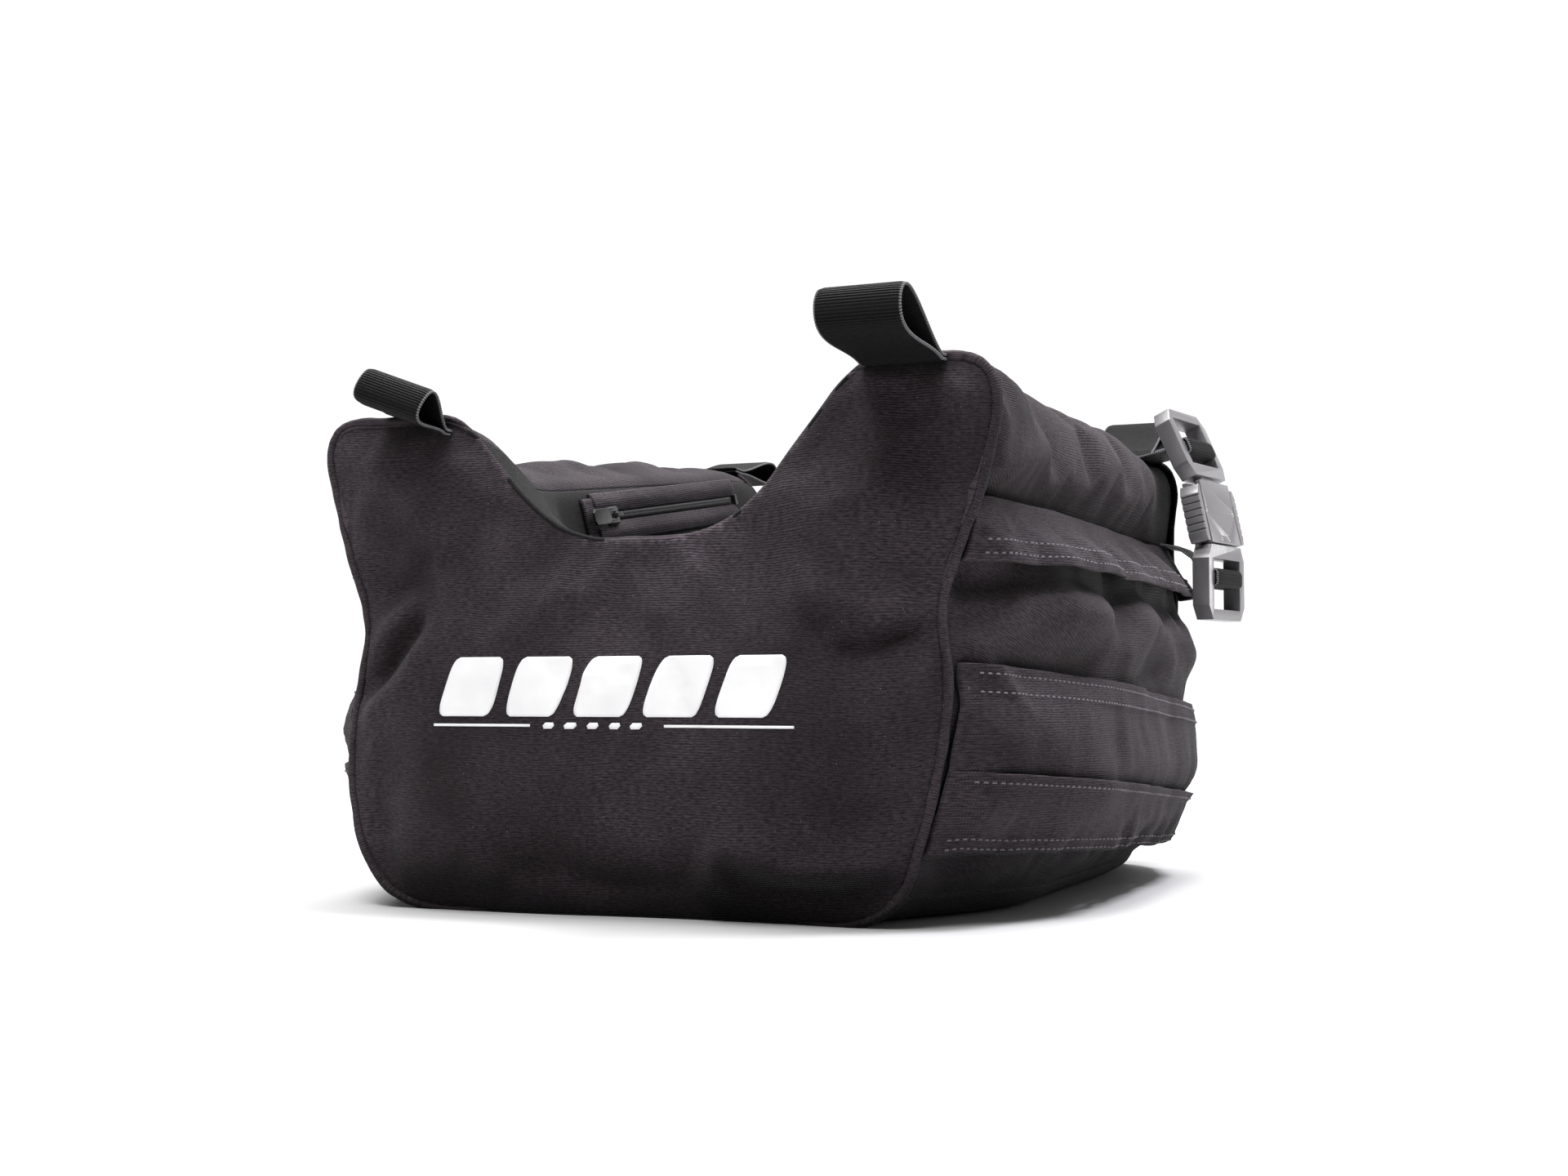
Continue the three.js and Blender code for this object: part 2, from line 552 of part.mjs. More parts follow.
const lowerFrame = bend(strapFrame(-1), LOWER_FRAME_AT, FRAME_BEND_DEG);
const basePlate = plate(rectangle(PLATE_HALF_WIDTH, -4, PLATE_TOP), -BUCKLE_HALF_THICK, -BUCKLE_HALF_THICK + PLATE_THICK);
const allHoles = [...holeTools(PIN_HOLE_RADIUS, pivotPlaces), ...holeTools(PIN_HOLE_RADIUS, rivetPlaces)];
const coverSpace = plate(rectangle(FRAME_HALF_WIDTH + 5, LOWER_FRAME_AT - 0.6, PLATE_TOP), -BUCKLE_HALF_THICK + PLATE_THICK, 12);
add('buckle_socket_plate', cut(join(basePlate, lowerFrame), coverSpace, ...allHoles), METAL, buckle);
const coverPlate = plate(rectangle(PLATE_HALF_WIDTH, LOWER_FRAME_AT, PLATE_TOP), BUCKLE_HALF_THICK - PLATE_THICK, BUCKLE_HALF_THICK);
add('buckle_cover_plate', cut(coverPlate, ...allHoles), METAL, buckle);

// A squeeze clip: an arm between the plates with a tooth near its top, and a ribbed pad outside the plates' edge.
const PAD_INNER = 24;
const PAD_OUTER = 28.5;
const PAD_LOW = 2;
const PAD_HIGH = 35;
const RIB_COUNT = 6;
function clip(side) {
  const arm = plate([[16.6, 2.5], [PAD_INNER + 1, 2.5], [PAD_INNER + 1, 34], [15.5, 34], [15.5, 29], [16.6, 27]],
    -BLADE_HALF_THICK, BLADE_HALF_THICK);
  const pad = plate([[PAD_INNER, PAD_LOW], [PAD_OUTER - 1.5, PAD_LOW], [PAD_OUTER, PAD_LOW + 4], [PAD_OUTER, PAD_HIGH - 5],
    [PAD_OUTER - 2.5, PAD_HIGH], [PAD_INNER, PAD_HIGH]], -BUCKLE_HALF_THICK, BUCKLE_HALF_THICK);
  const grooves = Array.from({ length: RIB_COUNT }, (_, k) => {
    const at = PAD_LOW + 6 + k * 4;
    return plate([[PAD_OUTER - 0.8, at], [PAD_OUTER + 1, at], [PAD_OUTER + 1, at + 1], [PAD_OUTER - 0.8, at + 1]], -8, 8);
  });
  const hole = pin(CLIP_PIVOT[0], CLIP_PIVOT[1], PIN_HOLE_RADIUS, 8);
  return cut(join(arm, pad), hole, ...grooves).scale(1, side, 1);
}

// A leaf spring bent into a U between the clip's arm and the middle of the socket.
function clipSpring(side) {
  const u = [[10, 5.5], [10, 7], [14.4, 7], [14.4, 2], [13.6, 2], [13.6, 6.2], [10.8, 6.2], [10.8, 5.5]];
  return plate(u, -1.6, 1.6).scale(1, side, 1);
}

for (const [side, end] of [[-1, 'front'], [1, 'rear']]) {
  add(`buckle_${end}_clip`, clip(side), METAL, buckle);
  add(`buckle_${end}_clip_spring`, clipSpring(side), STEEL, buckle);
  add(`buckle_${end}_clip_pin`, pin(side * CLIP_PIVOT[0], CLIP_PIVOT[1], PIN_RADIUS, BUCKLE_HALF_THICK), STEEL, buckle);
  add(`buckle_${end}_rivet`, pin(side * 5, 4, PIN_RADIUS, BUCKLE_HALF_THICK), STEEL, buckle);
}

// The plug: a blade with a wide head in the socket and a strap frame above the socket's mouth.
const blade = plate([[-12, 9], [12, 9], [15, 12], [15, 26], [10, 28], [10, UPPER_FRAME_AT + 3],
  [-10, UPPER_FRAME_AT + 3], [-10, 28], [-15, 26], [-15, 12]], -BLADE_HALF_THICK, BLADE_HALF_THICK);
const upperFrame = bend(strapFrame(1), UPPER_FRAME_AT + 0.8, -FRAME_BEND_DEG);
add('buckle_plug', join(blade, upperFrame), METAL, buckle);
add('upper_strap_wrap', bend(barWrap(1), UPPER_FRAME_AT + 0.8, -FRAME_BEND_DEG), WEBBING, buckle);
add('lower_strap_wrap', bend(barWrap(-1), LOWER_FRAME_AT, FRAME_BEND_DEG), WEBBING, buckle);

// ---- Straps between the bag and the buckle -----------------------------------------------------------------

// A flat strap along a path in the XZ plane, centred on a place along Y.
function flatStrap(points, y) {
  const grid = (lift) => points.map(([x, z], i) => {
    const [px, pz] = points[Math.max(i - 1, 0)];
    const [qx, qz] = points[Math.min(i + 1, points.length - 1)];
    const normal = new THREE.Vector2(pz - qz, qx - px).setLength(lift);
    return [-0.5, 0.5].map((s) => new THREE.Vector3(x + normal.x, y + s * WEBBING_WIDTH, z + normal.y));
  });
  return thickSheet(grid(WEBBING_THICK), grid(0));
}

const STRAP_Y = 162;
add('upper_strap', flatStrap([[112, HORN_TOP + GAP], [146, HORN_TOP + GAP], [161, HORN_TOP + 1]], STRAP_Y), WEBBING);
add('lower_strap', flatStrap([[168.5, 184.5], [177, 180], [181, 171]], STRAP_Y), WEBBING);

export default bag;
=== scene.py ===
"""Saddle-shaped sandbag: the looks of its canvas, webbing, zip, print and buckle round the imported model."""

import json
import math

import bmesh
import bpy
import numpy as np
from mathutils import Matrix, Vector, bvhtree, geometry, kdtree, noise


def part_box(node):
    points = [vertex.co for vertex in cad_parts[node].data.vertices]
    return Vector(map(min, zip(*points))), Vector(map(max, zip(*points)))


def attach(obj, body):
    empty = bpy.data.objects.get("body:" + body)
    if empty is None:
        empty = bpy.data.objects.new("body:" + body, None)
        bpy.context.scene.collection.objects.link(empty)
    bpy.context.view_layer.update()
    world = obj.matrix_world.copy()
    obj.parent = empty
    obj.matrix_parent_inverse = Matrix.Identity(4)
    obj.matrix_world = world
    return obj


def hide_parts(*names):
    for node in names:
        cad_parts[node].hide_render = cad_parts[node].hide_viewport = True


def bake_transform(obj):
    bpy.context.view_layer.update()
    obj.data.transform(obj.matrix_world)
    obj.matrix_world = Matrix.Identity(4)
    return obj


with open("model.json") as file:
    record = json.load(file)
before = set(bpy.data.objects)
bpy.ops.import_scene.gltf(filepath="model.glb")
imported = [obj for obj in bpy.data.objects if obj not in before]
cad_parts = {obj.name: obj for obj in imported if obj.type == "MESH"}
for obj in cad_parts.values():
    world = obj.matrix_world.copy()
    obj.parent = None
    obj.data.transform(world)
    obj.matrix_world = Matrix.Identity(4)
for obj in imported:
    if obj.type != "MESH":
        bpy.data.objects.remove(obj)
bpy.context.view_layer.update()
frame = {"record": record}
MM = 0.001

# ---- Camera, floor and light ----

CAMERA_AT = (0.404, -0.970, 0.100)
CAMERA_YAW = math.radians(23.0)
CAMERA_PITCH = math.radians(3.12)
CAMERA_LENS = 44.8
WORLD_FRONT, WORLD_BACK = 0.16, 1.05
TOP_LIGHT = 5.2


def make_camera():
    data = bpy.data.cameras.new("camera")
    data.lens = CAMERA_LENS
    data.sensor_width = 36.0
    camera = bpy.data.objects.new("camera", data)
    bpy.context.collection.objects.link(camera)
    turn = Matrix.Rotation(CAMERA_YAW, 4, "Z") @ Matrix.Rotation(math.pi / 2 + CAMERA_PITCH, 4, "X")
    camera.matrix_world = Matrix.Translation(CAMERA_AT) @ turn
    bpy.context.scene.camera = camera


def area_light(name, at, aim, size, watts, tint=(1.0, 1.0, 1.0)):
    data = bpy.data.lights.new(name, "AREA")
    data.shape = "RECTANGLE"
    data.size, data.size_y = size
    data.energy = watts
    data.color = tint
    light = bpy.data.objects.new(name, data)
    bpy.context.collection.objects.link(light)
    light.location = at
    light.rotation_euler = (Vector(aim) - Vector(at)).to_track_quat("-Z", "Y").to_euler()


def make_stage():
    world = bpy.data.worlds.new("studio")
    world.use_nodes = True
    tree = world.node_tree
    place = tree.nodes.new("ShaderNodeTexCoord").outputs[0]
    parts = tree.nodes.new("ShaderNodeSeparateXYZ")
    tree.links.new(place, parts.inputs[0])
    fade = tree.nodes.new("ShaderNodeMapRange")
    tree.links.new(parts.outputs[1], fade.inputs[0])
    for socket, value in ((1, 0.3), (2, 0.66), (3, WORLD_FRONT), (4, WORLD_BACK)):
        fade.inputs[socket].default_value = value
    tree.links.new(fade.outputs[0], tree.nodes["Background"].inputs["Strength"])
    tree.nodes["Background"].inputs["Color"].default_value = (1, 1, 1, 1)
    bpy.context.scene.world = world
    bpy.context.scene.view_settings.view_transform = "Standard"
    sky = bpy.data.lights.new("overhead_softbox", "SUN")
    sky.energy = TOP_LIGHT
    sky.angle = math.radians(55)
    overhead = bpy.data.objects.new("overhead_softbox", sky)
    bpy.context.collection.objects.link(overhead)
    overhead.rotation_euler = Vector((0.16, -0.22, -1)).to_track_quat("-Z", "Y").to_euler()
    area_light("front_key", (0.05, -1.0, 1.6), (0, -0.15, 0.15), (0.6, 0.6), 20)
    area_light("right_key", (0.62, 0.08, 1.3), (0.16, 0.0, 0.1), (0.25, 0.25), 18, (0.95, 0.95, 1.0))
    bpy.ops.mesh.primitive_plane_add(size=12)
    floor = bpy.context.object
    floor.name = "floor"
    material = bpy.data.materials.new("floor")
    material.use_nodes = True
    shader = material.node_tree.nodes["Principled BSDF"]
    shader.inputs["Base Color"].default_value = (0.52, 0.52, 0.52, 1)
    shader.inputs["Roughness"].default_value = 0.9
    floor.data.materials.append(material)


make_camera()
make_stage()

# ---- Driving dimensions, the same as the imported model's, in millimetres ----

HALF_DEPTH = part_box("rear_panel")[1][1] / MM
HORN_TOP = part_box("front_panel")[1][2] / MM
TROUGH_FLOOR = 166.0
SEAM_HEIGHT = 186.0
MIDDLE_FROM, MIDDLE_TO = -75.0, 150.0
LEFT_SAG = ((-HALF_DEPTH, -105.0, 165.0, HALF_DEPTH), (12.0, 33.0, 0.0, 0.0))
RIGHT_SAG = ((-HALF_DEPTH, -120.0, 20.0, 120.0, HALF_DEPTH), (0.0, 4.0, 9.0, 9.0, 4.0))
WEBBING_WIDTH = 38.0
# Half sections from the base's centre round to the trough's: x, z, length of the rounded corner.
FRONT_CORNERS = [
    (0, 0, 0), (120, 0, 28), (148, 80, 40), (142, 138, 12), (158, SEAM_HEIGHT, 14),
    (172, HORN_TOP, 42), (101, HORN_TOP, 14), (46, 171, 34), (0, 171, 0),
]
MIDDLE_CORNERS = [
    (0, 0, 0), (160, 0, 26), (177, 100, 28), (178, 146, 14), (163, SEAM_HEIGHT, 12),
    (168, HORN_TOP, 30), (108, HORN_TOP, 14), (94, TROUGH_FLOOR, 14), (0, TROUGH_FLOOR, 0),
]
REAR_CORNERS = [
    (0, 0, 0), (152, 0, 28), (170, 100, 28), (170, 146, 14), (162, SEAM_HEIGHT, 14),
    (168, HORN_TOP, 28), (114, HORN_TOP, 14), (64, 171, 34), (0, 171, 0),
]
CORNER_STEPS = 12
ROW_STEP = 5.0

# ---- Mesh helpers ----


def smoothstep(x, low, high):
    t = np.clip((np.asarray(x, float) - low) / (high - low), 0, 1)
    return t * t * (3 - 2 * t)


def new_object(name, points, faces, material=None, uv=None):
    """A mesh object from points in millimetres; uv gives one pair a point, in millimetres too."""
    mesh = bpy.data.meshes.new(name)
    places = [tuple(p * MM) for p in np.asarray(points, float)]
    mesh.from_pydata(places, [], [tuple(int(i) for i in f) for f in faces])
    if uv is not None:
        layer = mesh.uv_layers.new(name="weave")
        corners = np.empty(len(mesh.loops), int)
        mesh.loops.foreach_get("vertex_index", corners)
        layer.data.foreach_set("uv", np.asarray(uv, float)[corners].astype(np.float32).ravel())
    mesh.polygons.foreach_set("use_smooth", [True] * len(mesh.polygons))
    obj = bpy.data.objects.new(name, mesh)
    bpy.context.collection.objects.link(obj)
    if material:
        mesh.materials.append(material)
    return obj


def apply_modifiers(obj):
    depsgraph = bpy.context.evaluated_depsgraph_get()
    mesh = bpy.data.meshes.new_from_object(obj.evaluated_get(depsgraph))
    obj.modifiers.clear()
    obj.data = mesh
    return obj


def grid_faces(rows, columns, closed=False):
    """Quads of a grid of points, rows by columns, whose columns close into a ring if asked."""
    faces = []
    for i in range(rows - 1):
        for j in range(columns if closed else columns - 1):
            k = (j + 1) % columns
            faces.append((i * columns + j, i * columns + k, (i + 1) * columns + k, (i + 1) * columns + j))
    return faces


def thick_sheet(outer, inner):
    """Points and faces of a sheet from two grids (rows, columns, 3), closed round the four edges."""
    rows, columns = outer.shape[:2]
    count = rows * columns
    faces = grid_faces(rows, columns)
    faces += [tuple(count + v for v in reversed(f)) for f in grid_faces(rows, columns)]
    ring = [i * columns for i in range(rows)]
    ring += [(rows - 1) * columns + j for j in range(1, columns)]
    ring += [i * columns + columns - 1 for i in range(rows - 2, -1, -1)]
    ring += list(range(columns - 2, 0, -1))
    for a, b in zip(ring, ring[1:] + ring[:1]):
        faces.append((a, b, count + b, count + a))
    return np.concatenate([outer.reshape(-1, 3), inner.reshape(-1, 3)]), faces


def facing_out(obj):
    mesh = bmesh.new()
    mesh.from_mesh(obj.data)
    bmesh.ops.recalc_face_normals(mesh, faces=mesh.faces)
    mesh.to_mesh(obj.data)
    mesh.free()
    return obj


def resample(points, count):
    """A polyline's points spread evenly along it."""
    points = np.asarray(points, float)
    length = np.concatenate([[0], np.cumsum(np.linalg.norm(np.diff(points, axis=0), axis=1))])
    at = np.linspace(0, length[-1], count)
    return np.stack([np.interp(at, length, points[:, k]) for k in range(points.shape[1])], axis=1)


# ---- Materials ----


class Graph:
    """A material's node tree, with one call for each node."""

    def __init__(self, name):
        self.material = bpy.data.materials.new(name)
        self.material.use_nodes = True
        self.tree = self.material.node_tree
        self.shader = self.tree.nodes["Principled BSDF"]

    def node(self, kind, inputs=(), out=0, **settings):
        made = self.tree.nodes.new(kind)
        for key, value in settings.items():
            setattr(made, key, value)
        for key, value in dict(inputs).items():
            if isinstance(value, bpy.types.NodeSocket):
                self.tree.links.new(value, made.inputs[key])
            else:
                made.inputs[key].default_value = value
        return made.outputs[out]

    def math(self, operation, a, b=0.0, clamp=False):
        return self.node("ShaderNodeMath", {0: a, 1: b}, operation=operation, use_clamp=clamp)

    def ramp(self, value, low, high):
        return self.node("ShaderNodeMapRange", {0: value, 1: low, 2: high})

    def mix(self, factor, a, b):
        return self.node("ShaderNodeMix", {0: factor, 6: a, 7: b}, out=2, data_type="RGBA")

    def noise(self, vector, scale, detail=2.0):
        return self.node("ShaderNodeTexNoise", {"Vector": vector, "Scale": scale, "Detail": detail})

    def vector(self, x, y):
        return self.node("ShaderNodeCombineXYZ", {0: x, 1: y})

    def weave_place(self):
        """The two weave coordinates, across and along the cloth, in millimetres."""
        parts = self.tree.nodes.new("ShaderNodeSeparateXYZ")
        self.tree.links.new(self.node("ShaderNodeUVMap", uv_map="weave"), parts.inputs[0])
        return parts.outputs[0], parts.outputs[1]

    def bump(self, height, distance, strength=1.0, under=None):
        inputs = {"Height": height, "Distance": distance, "Strength": strength}
        if under is not None:
            inputs["Normal"] = under
        return self.node("ShaderNodeBump", inputs)

    def surface(self, color, roughness, normal, **constants):
        self.tree.links.new(color, self.shader.inputs["Base Color"])
        self.tree.links.new(roughness, self.shader.inputs["Roughness"])
        self.tree.links.new(normal, self.shader.inputs["Normal"])
        for key, value in constants.items():
            self.shader.inputs[key.replace("_", " ")].default_value = value
        return self.material


def rgb(r, g, b):
    return (r, g, b, 1.0)


def canvas_material(name, dark, light, rib=1.12, bead=0.86):
    """Coarse ribbed canvas: ribs along u, each a row of thread beads, with slubs, mottling, lint and painted
    shade in its hollows.
    """
    g = Graph(name)
    u, v = g.weave_place()
    place = g.node("ShaderNodeTexCoord", out=3)
    wobble = g.noise(g.vector(g.math("MULTIPLY", u, 0.05), g.math("MULTIPLY", v, 0.12)), 1.0)
    v_bent = g.math("ADD", v, g.math("MULTIPLY", wobble, 1.6))
    line = g.math("DIVIDE", v_bent, rib)
    ribs = g.math("ABSOLUTE", g.math("SINE", g.math("MULTIPLY", line, math.pi)))
    shift = g.math("MULTIPLY", g.math("FLOOR", line), math.pi)
    turns = g.math("ADD", g.math("MULTIPLY", u, 2 * math.pi / bead), shift)
    beads = g.math("MULTIPLY", g.math("ADD", g.math("SINE", turns), 1.0), 0.5)
    weave = g.math("MULTIPLY", ribs, g.math("ADD", g.math("MULTIPLY", beads, 0.5), 0.5))
    slub = g.noise(g.vector(g.math("MULTIPLY", u, 0.35), g.math("MULTIPLY", v_bent, 1.1)), 1.0, 3.0)
    mottle = g.noise(place, 16.0, 4.0)
    specks = g.noise(g.vector(g.math("MULTIPLY", u, 0.9), g.math("MULTIPLY", v, 0.9)), 1.0, 1.0)
    lint = g.ramp(specks, 0.735, 0.80)
    tone = g.math("ADD", g.math("MULTIPLY", weave, 0.46), g.math("MULTIPLY", g.ramp(slub, 0.36, 0.66), 0.5))
    tone = g.math("MULTIPLY", tone, g.ramp(mottle, 0.1, 0.75), clamp=True)
    convex_edges = g.ramp(g.node("ShaderNodeNewGeometry", out=7), 0.52, 0.60)
    tone = g.math("ADD", tone, g.math("MULTIPLY", convex_edges, 0.35), clamp=True)
    color = g.mix(tone, rgb(*dark), rgb(*light))
    color = g.mix(g.math("MULTIPLY", lint, 0.6), color, rgb(0.22, 0.19, 0.20))
    # Painted shade: ambient occlusion turns the cloth's colour deeper in folds, seams and gaps under the
    # bands, where shade falls.
    painted_hollow_shade = g.node("ShaderNodeAmbientOcclusion", {"Distance": 0.05}, out=1, samples=8)
    color = g.mix(g.ramp(painted_hollow_shade, 0.30, 0.86), rgb(*[c * 0.25 for c in dark]), color)
    rough = g.ramp(weave, -1.5, 1.4)
    fuzz = g.bump(g.noise(place, 900.0, 2.0), 0.0002, 0.35)
    normal = g.bump(weave, 0.00042, 0.85, fuzz)
    return g.surface(color, rough, normal, Sheen_Weight=0.06, Sheen_Roughness=0.5, Specular_IOR_Level=0.06)


def webbing_material(name, dark, light):
    """Ribbed webbing: fine threads along it over the modelled cross ribs, with a soft sheen."""
    g = Graph(name)
    u, v = g.weave_place()
    threads = g.math("ABSOLUTE", g.math("SINE", g.math("MULTIPLY", u, math.pi / 0.8)))
    ribs = g.math("ABSOLUTE", g.math("SINE", g.math("MULTIPLY", v, math.pi / WEBBING_RIB)))
    fibre = g.noise(g.vector(g.math("MULTIPLY", u, 2.5), g.math("MULTIPLY", v, 0.6)), 1.0, 3.0)
    tone = g.math("MULTIPLY", ribs, g.ramp(fibre, 0.15, 0.85), clamp=True)
    color = g.mix(tone, rgb(*dark), rgb(*light))
    # Painted highlight: lighter dots on the rib crests along the webbing's two edges.
    near_edge = g.ramp(g.math("ABSOLUTE", u), WEBBING_WIDTH / 2 - 1.1, WEBBING_WIDTH / 2 - 0.5)
    edge_highlight_dots = g.math("MULTIPLY", near_edge, ribs)
    color = g.mix(g.math("MULTIPLY", edge_highlight_dots, 0.55), color, rgb(0.32, 0.31, 0.32))
    rough = g.ramp(fibre, -0.55, 1.6)
    normal = g.bump(threads, 0.0002, 0.5, g.bump(ribs, 0.0003, 0.6))
    return g.surface(color, rough, normal, Sheen_Weight=0.0, Specular_IOR_Level=0.07)


def metal_material(name, base, edge, metallic, roughness):
    """Satin cast metal: fine grain, smudges, and brighter edges, partly edge wear and partly painted
    highlight.
    """
    g = Graph(name)
    place = g.node("ShaderNodeTexCoord", out=3)
    grain = g.noise(place, 2600.0, 2.0)
    smudge = g.noise(place, 60.0, 4.0)
    convex_edges = g.ramp(g.node("ShaderNodeNewGeometry", out=7), 0.53, 0.62)
    # Sharp edges turn brighter in noisy patches: edge wear together with painted highlight on the edges.
    edge_wear_and_highlight = g.math("MULTIPLY", convex_edges, g.ramp(g.noise(place, 160.0, 2.0), -0.3, 0.7), clamp=True)
    color = g.mix(g.ramp(smudge, 0.25, 0.85), rgb(*[c * 0.82 for c in base]), rgb(*base))
    color = g.mix(edge_wear_and_highlight, color, rgb(*edge))
    rough = g.math("ADD", g.math("MULTIPLY", g.ramp(smudge, 0.2, 0.8), 0.14), roughness)
    normal = g.bump(grain, 0.00008, 0.3)
    return g.surface(color, rough, normal, Metallic=metallic)


def plain_material(name, dark, light, roughness, grain_scale):
    """Moulded or painted finish: two close tones, fine grain and a slight unevenness in gloss."""
    g = Graph(name)
    place = g.node("ShaderNodeTexCoord", out=3)
    patches = g.noise(place, 90.0, 4.0)
    color = g.mix(patches, rgb(*dark), rgb(*light))
    rough = g.math("ADD", g.math("MULTIPLY", patches, 0.2), roughness)
    normal = g.bump(g.noise(place, grain_scale, 2.0), 0.0001, 0.4)
    return g.surface(color, rough, normal, Specular_IOR_Level=0.4)


WEBBING_RIB = 1.25
CANVAS = canvas_material("canvas", (0.0055, 0.0042, 0.0050), (0.092, 0.073, 0.085))
# The trough's cloth is a guessed grip lining, made near black so that it paints the deep shade of the trough
# under the zip.
GRIP_LINING_AND_TROUGH_SHADE = canvas_material("saddle_fabric", (0.003, 0.003, 0.003), (0.016, 0.015, 0.016), 0.7, 0.6)
WEBBING = webbing_material("webbing", (0.0012, 0.0012, 0.0013), (0.017, 0.016, 0.017))
THREAD = plain_material("thread", (0.07, 0.065, 0.07), (0.19, 0.17, 0.19), 0.6, 1500.0)
COIL = plain_material("zip_coil", (0.006, 0.006, 0.007), (0.014, 0.014, 0.015), 0.35, 1200.0)
BLACK_METAL = metal_material("zip_metal", (0.004, 0.004, 0.0045), (0.06, 0.06, 0.06), 0.2, 0.35)
BUCKLE_METAL = metal_material("buckle_metal", (0.27, 0.26, 0.27), (0.75, 0.74, 0.75), 0.7, 0.3)
STEEL = metal_material("pin_steel", (0.5, 0.5, 0.51), (0.9, 0.9, 0.9), 1.0, 0.25)
INK = plain_material("print_ink", (0.78, 0.77, 0.78), (0.9, 0.9, 0.9), 0.5, 500.0)

# ---- Body of the bag ----


def section(y, side):
    """The rounded half section at a station, as an array of x, z from the base's centre to the trough's."""
    front = y < MIDDLE_FROM
    end = np.array(FRONT_CORNERS if front else REAR_CORNERS, float)
    if front:
        blend = smoothstep(y, -HALF_DEPTH, MIDDLE_FROM)
    else:
        blend = 1 - smoothstep(y, MIDDLE_TO, HALF_DEPTH)
    corners = end + (np.array(MIDDLE_CORNERS, float) - end) * blend
    sag = np.interp(y, *(LEFT_SAG if side < 0 else RIGHT_SAG))
    shoulder, crest, foot = corners[5], corners[6], corners[7]
    crest[0] += (foot[0] - crest[0]) * sag / (HORN_TOP - foot[1])
    crest[1] -= sag
    shoulder[1] -= sag
    shoulder[2] = min(shoulder[2], 0.5 * (shoulder[1] - SEAM_HEIGHT))
    points = [corners[0, :2]]
    for k in range(1, len(corners) - 1):
        at, length = corners[k, :2], corners[k, 2]
        before, after = corners[k - 1, :2] - at, corners[k + 1, :2] - at
        start = at + before * length / np.linalg.norm(before)
        stop = at + after * length / np.linalg.norm(after)
        for t in np.linspace(0, 1, CORNER_STEPS + 1):
            points.append(start * (1 - t) ** 2 + at * 2 * t * (1 - t) + stop * t * t)
    points.append(corners[-1, :2])
    return np.array(points)


def corner_index(corner, share):
    return 1 + (corner - 1) * (CORNER_STEPS + 1) + round(CORNER_STEPS * share)


# Where one panel ends and the next begins on the half section, and how many steps each panel has round it.
BASE_END = corner_index(1, 2 / 3)
SEAM_END = corner_index(4, 1 / 2)
CREST_END = corner_index(6, 2 / 3)
STEPS = {"base": 28, "side": 40, "ridge": 25, "trough": 34}
BASE_COLUMN = STEPS["base"]
SEAM_COLUMN = BASE_COLUMN + STEPS["side"]
CREST_COLUMN = SEAM_COLUMN + STEPS["ridge"]
HALF_COLUMNS = CREST_COLUMN + STEPS["trough"]
BODY_COLUMNS = 2 * HALF_COLUMNS
BODY_ROWS = int(round(2 * HALF_DEPTH / ROW_STEP)) + 1
# Spacing of an end panel's inner points, and how far from the middle plane they are tried.
END_STEP = 5.4
END_REACH = 180


def half_ring(y, side):
    """The half section resampled evenly inside each panel: x, y, z and its length from the base's centre."""
    points = section(y, side)
    cuts = [0, BASE_END, SEAM_END, CREST_END, len(points) - 1]
    parts = [resample(points[a : b + 1], n + 1) for a, b, n in zip(cuts, cuts[1:], STEPS.values())]
    flat = np.concatenate([parts[0]] + [part[1:] for part in parts[1:]])
    length = np.concatenate([[0], np.cumsum(np.linalg.norm(np.diff(flat, axis=0), axis=1))])
    return np.stack([side * flat[:, 0], np.full(len(flat), y), flat[:, 1], side * length], axis=1)


def end_fill(ring, y):
    """Inner points and triangles of an end panel, whose edge is the ring's points."""
    outline = [Vector((p[0], p[2])) for p in ring]
    loop = [(i, (i + 1) % len(outline)) for i in range(len(outline))]
    inside = []
    step = END_STEP
    for row, z in enumerate(np.arange(step, HORN_TOP, step * math.sqrt(3) / 2)):
        for x in np.arange(-END_REACH + (row % 2) * step / 2, END_REACH, step):
            point = Vector((x, z))
            crossings = 0
            nearest = 1e9
            for a, b in loop:
                p, q = outline[a], outline[b]
                if (p.y > z) != (q.y > z) and x < p.x + (z - p.y) / (q.y - p.y) * (q.x - p.x):
                    crossings += 1
                nearest = min(nearest, (p - point).length_squared)
            if crossings % 2 and nearest > (0.62 * step) ** 2:
                inside.append(point)
    made = geometry.delaunay_2d_cdt(outline + inside, loop, [], 1, 1e-5)
    source = [origins[0] for origins in made[3]]
    triangles = [tuple(source[v] for v in face) for face in made[2]]
    return np.array([(p.x, y, p.y) for p in inside]), triangles


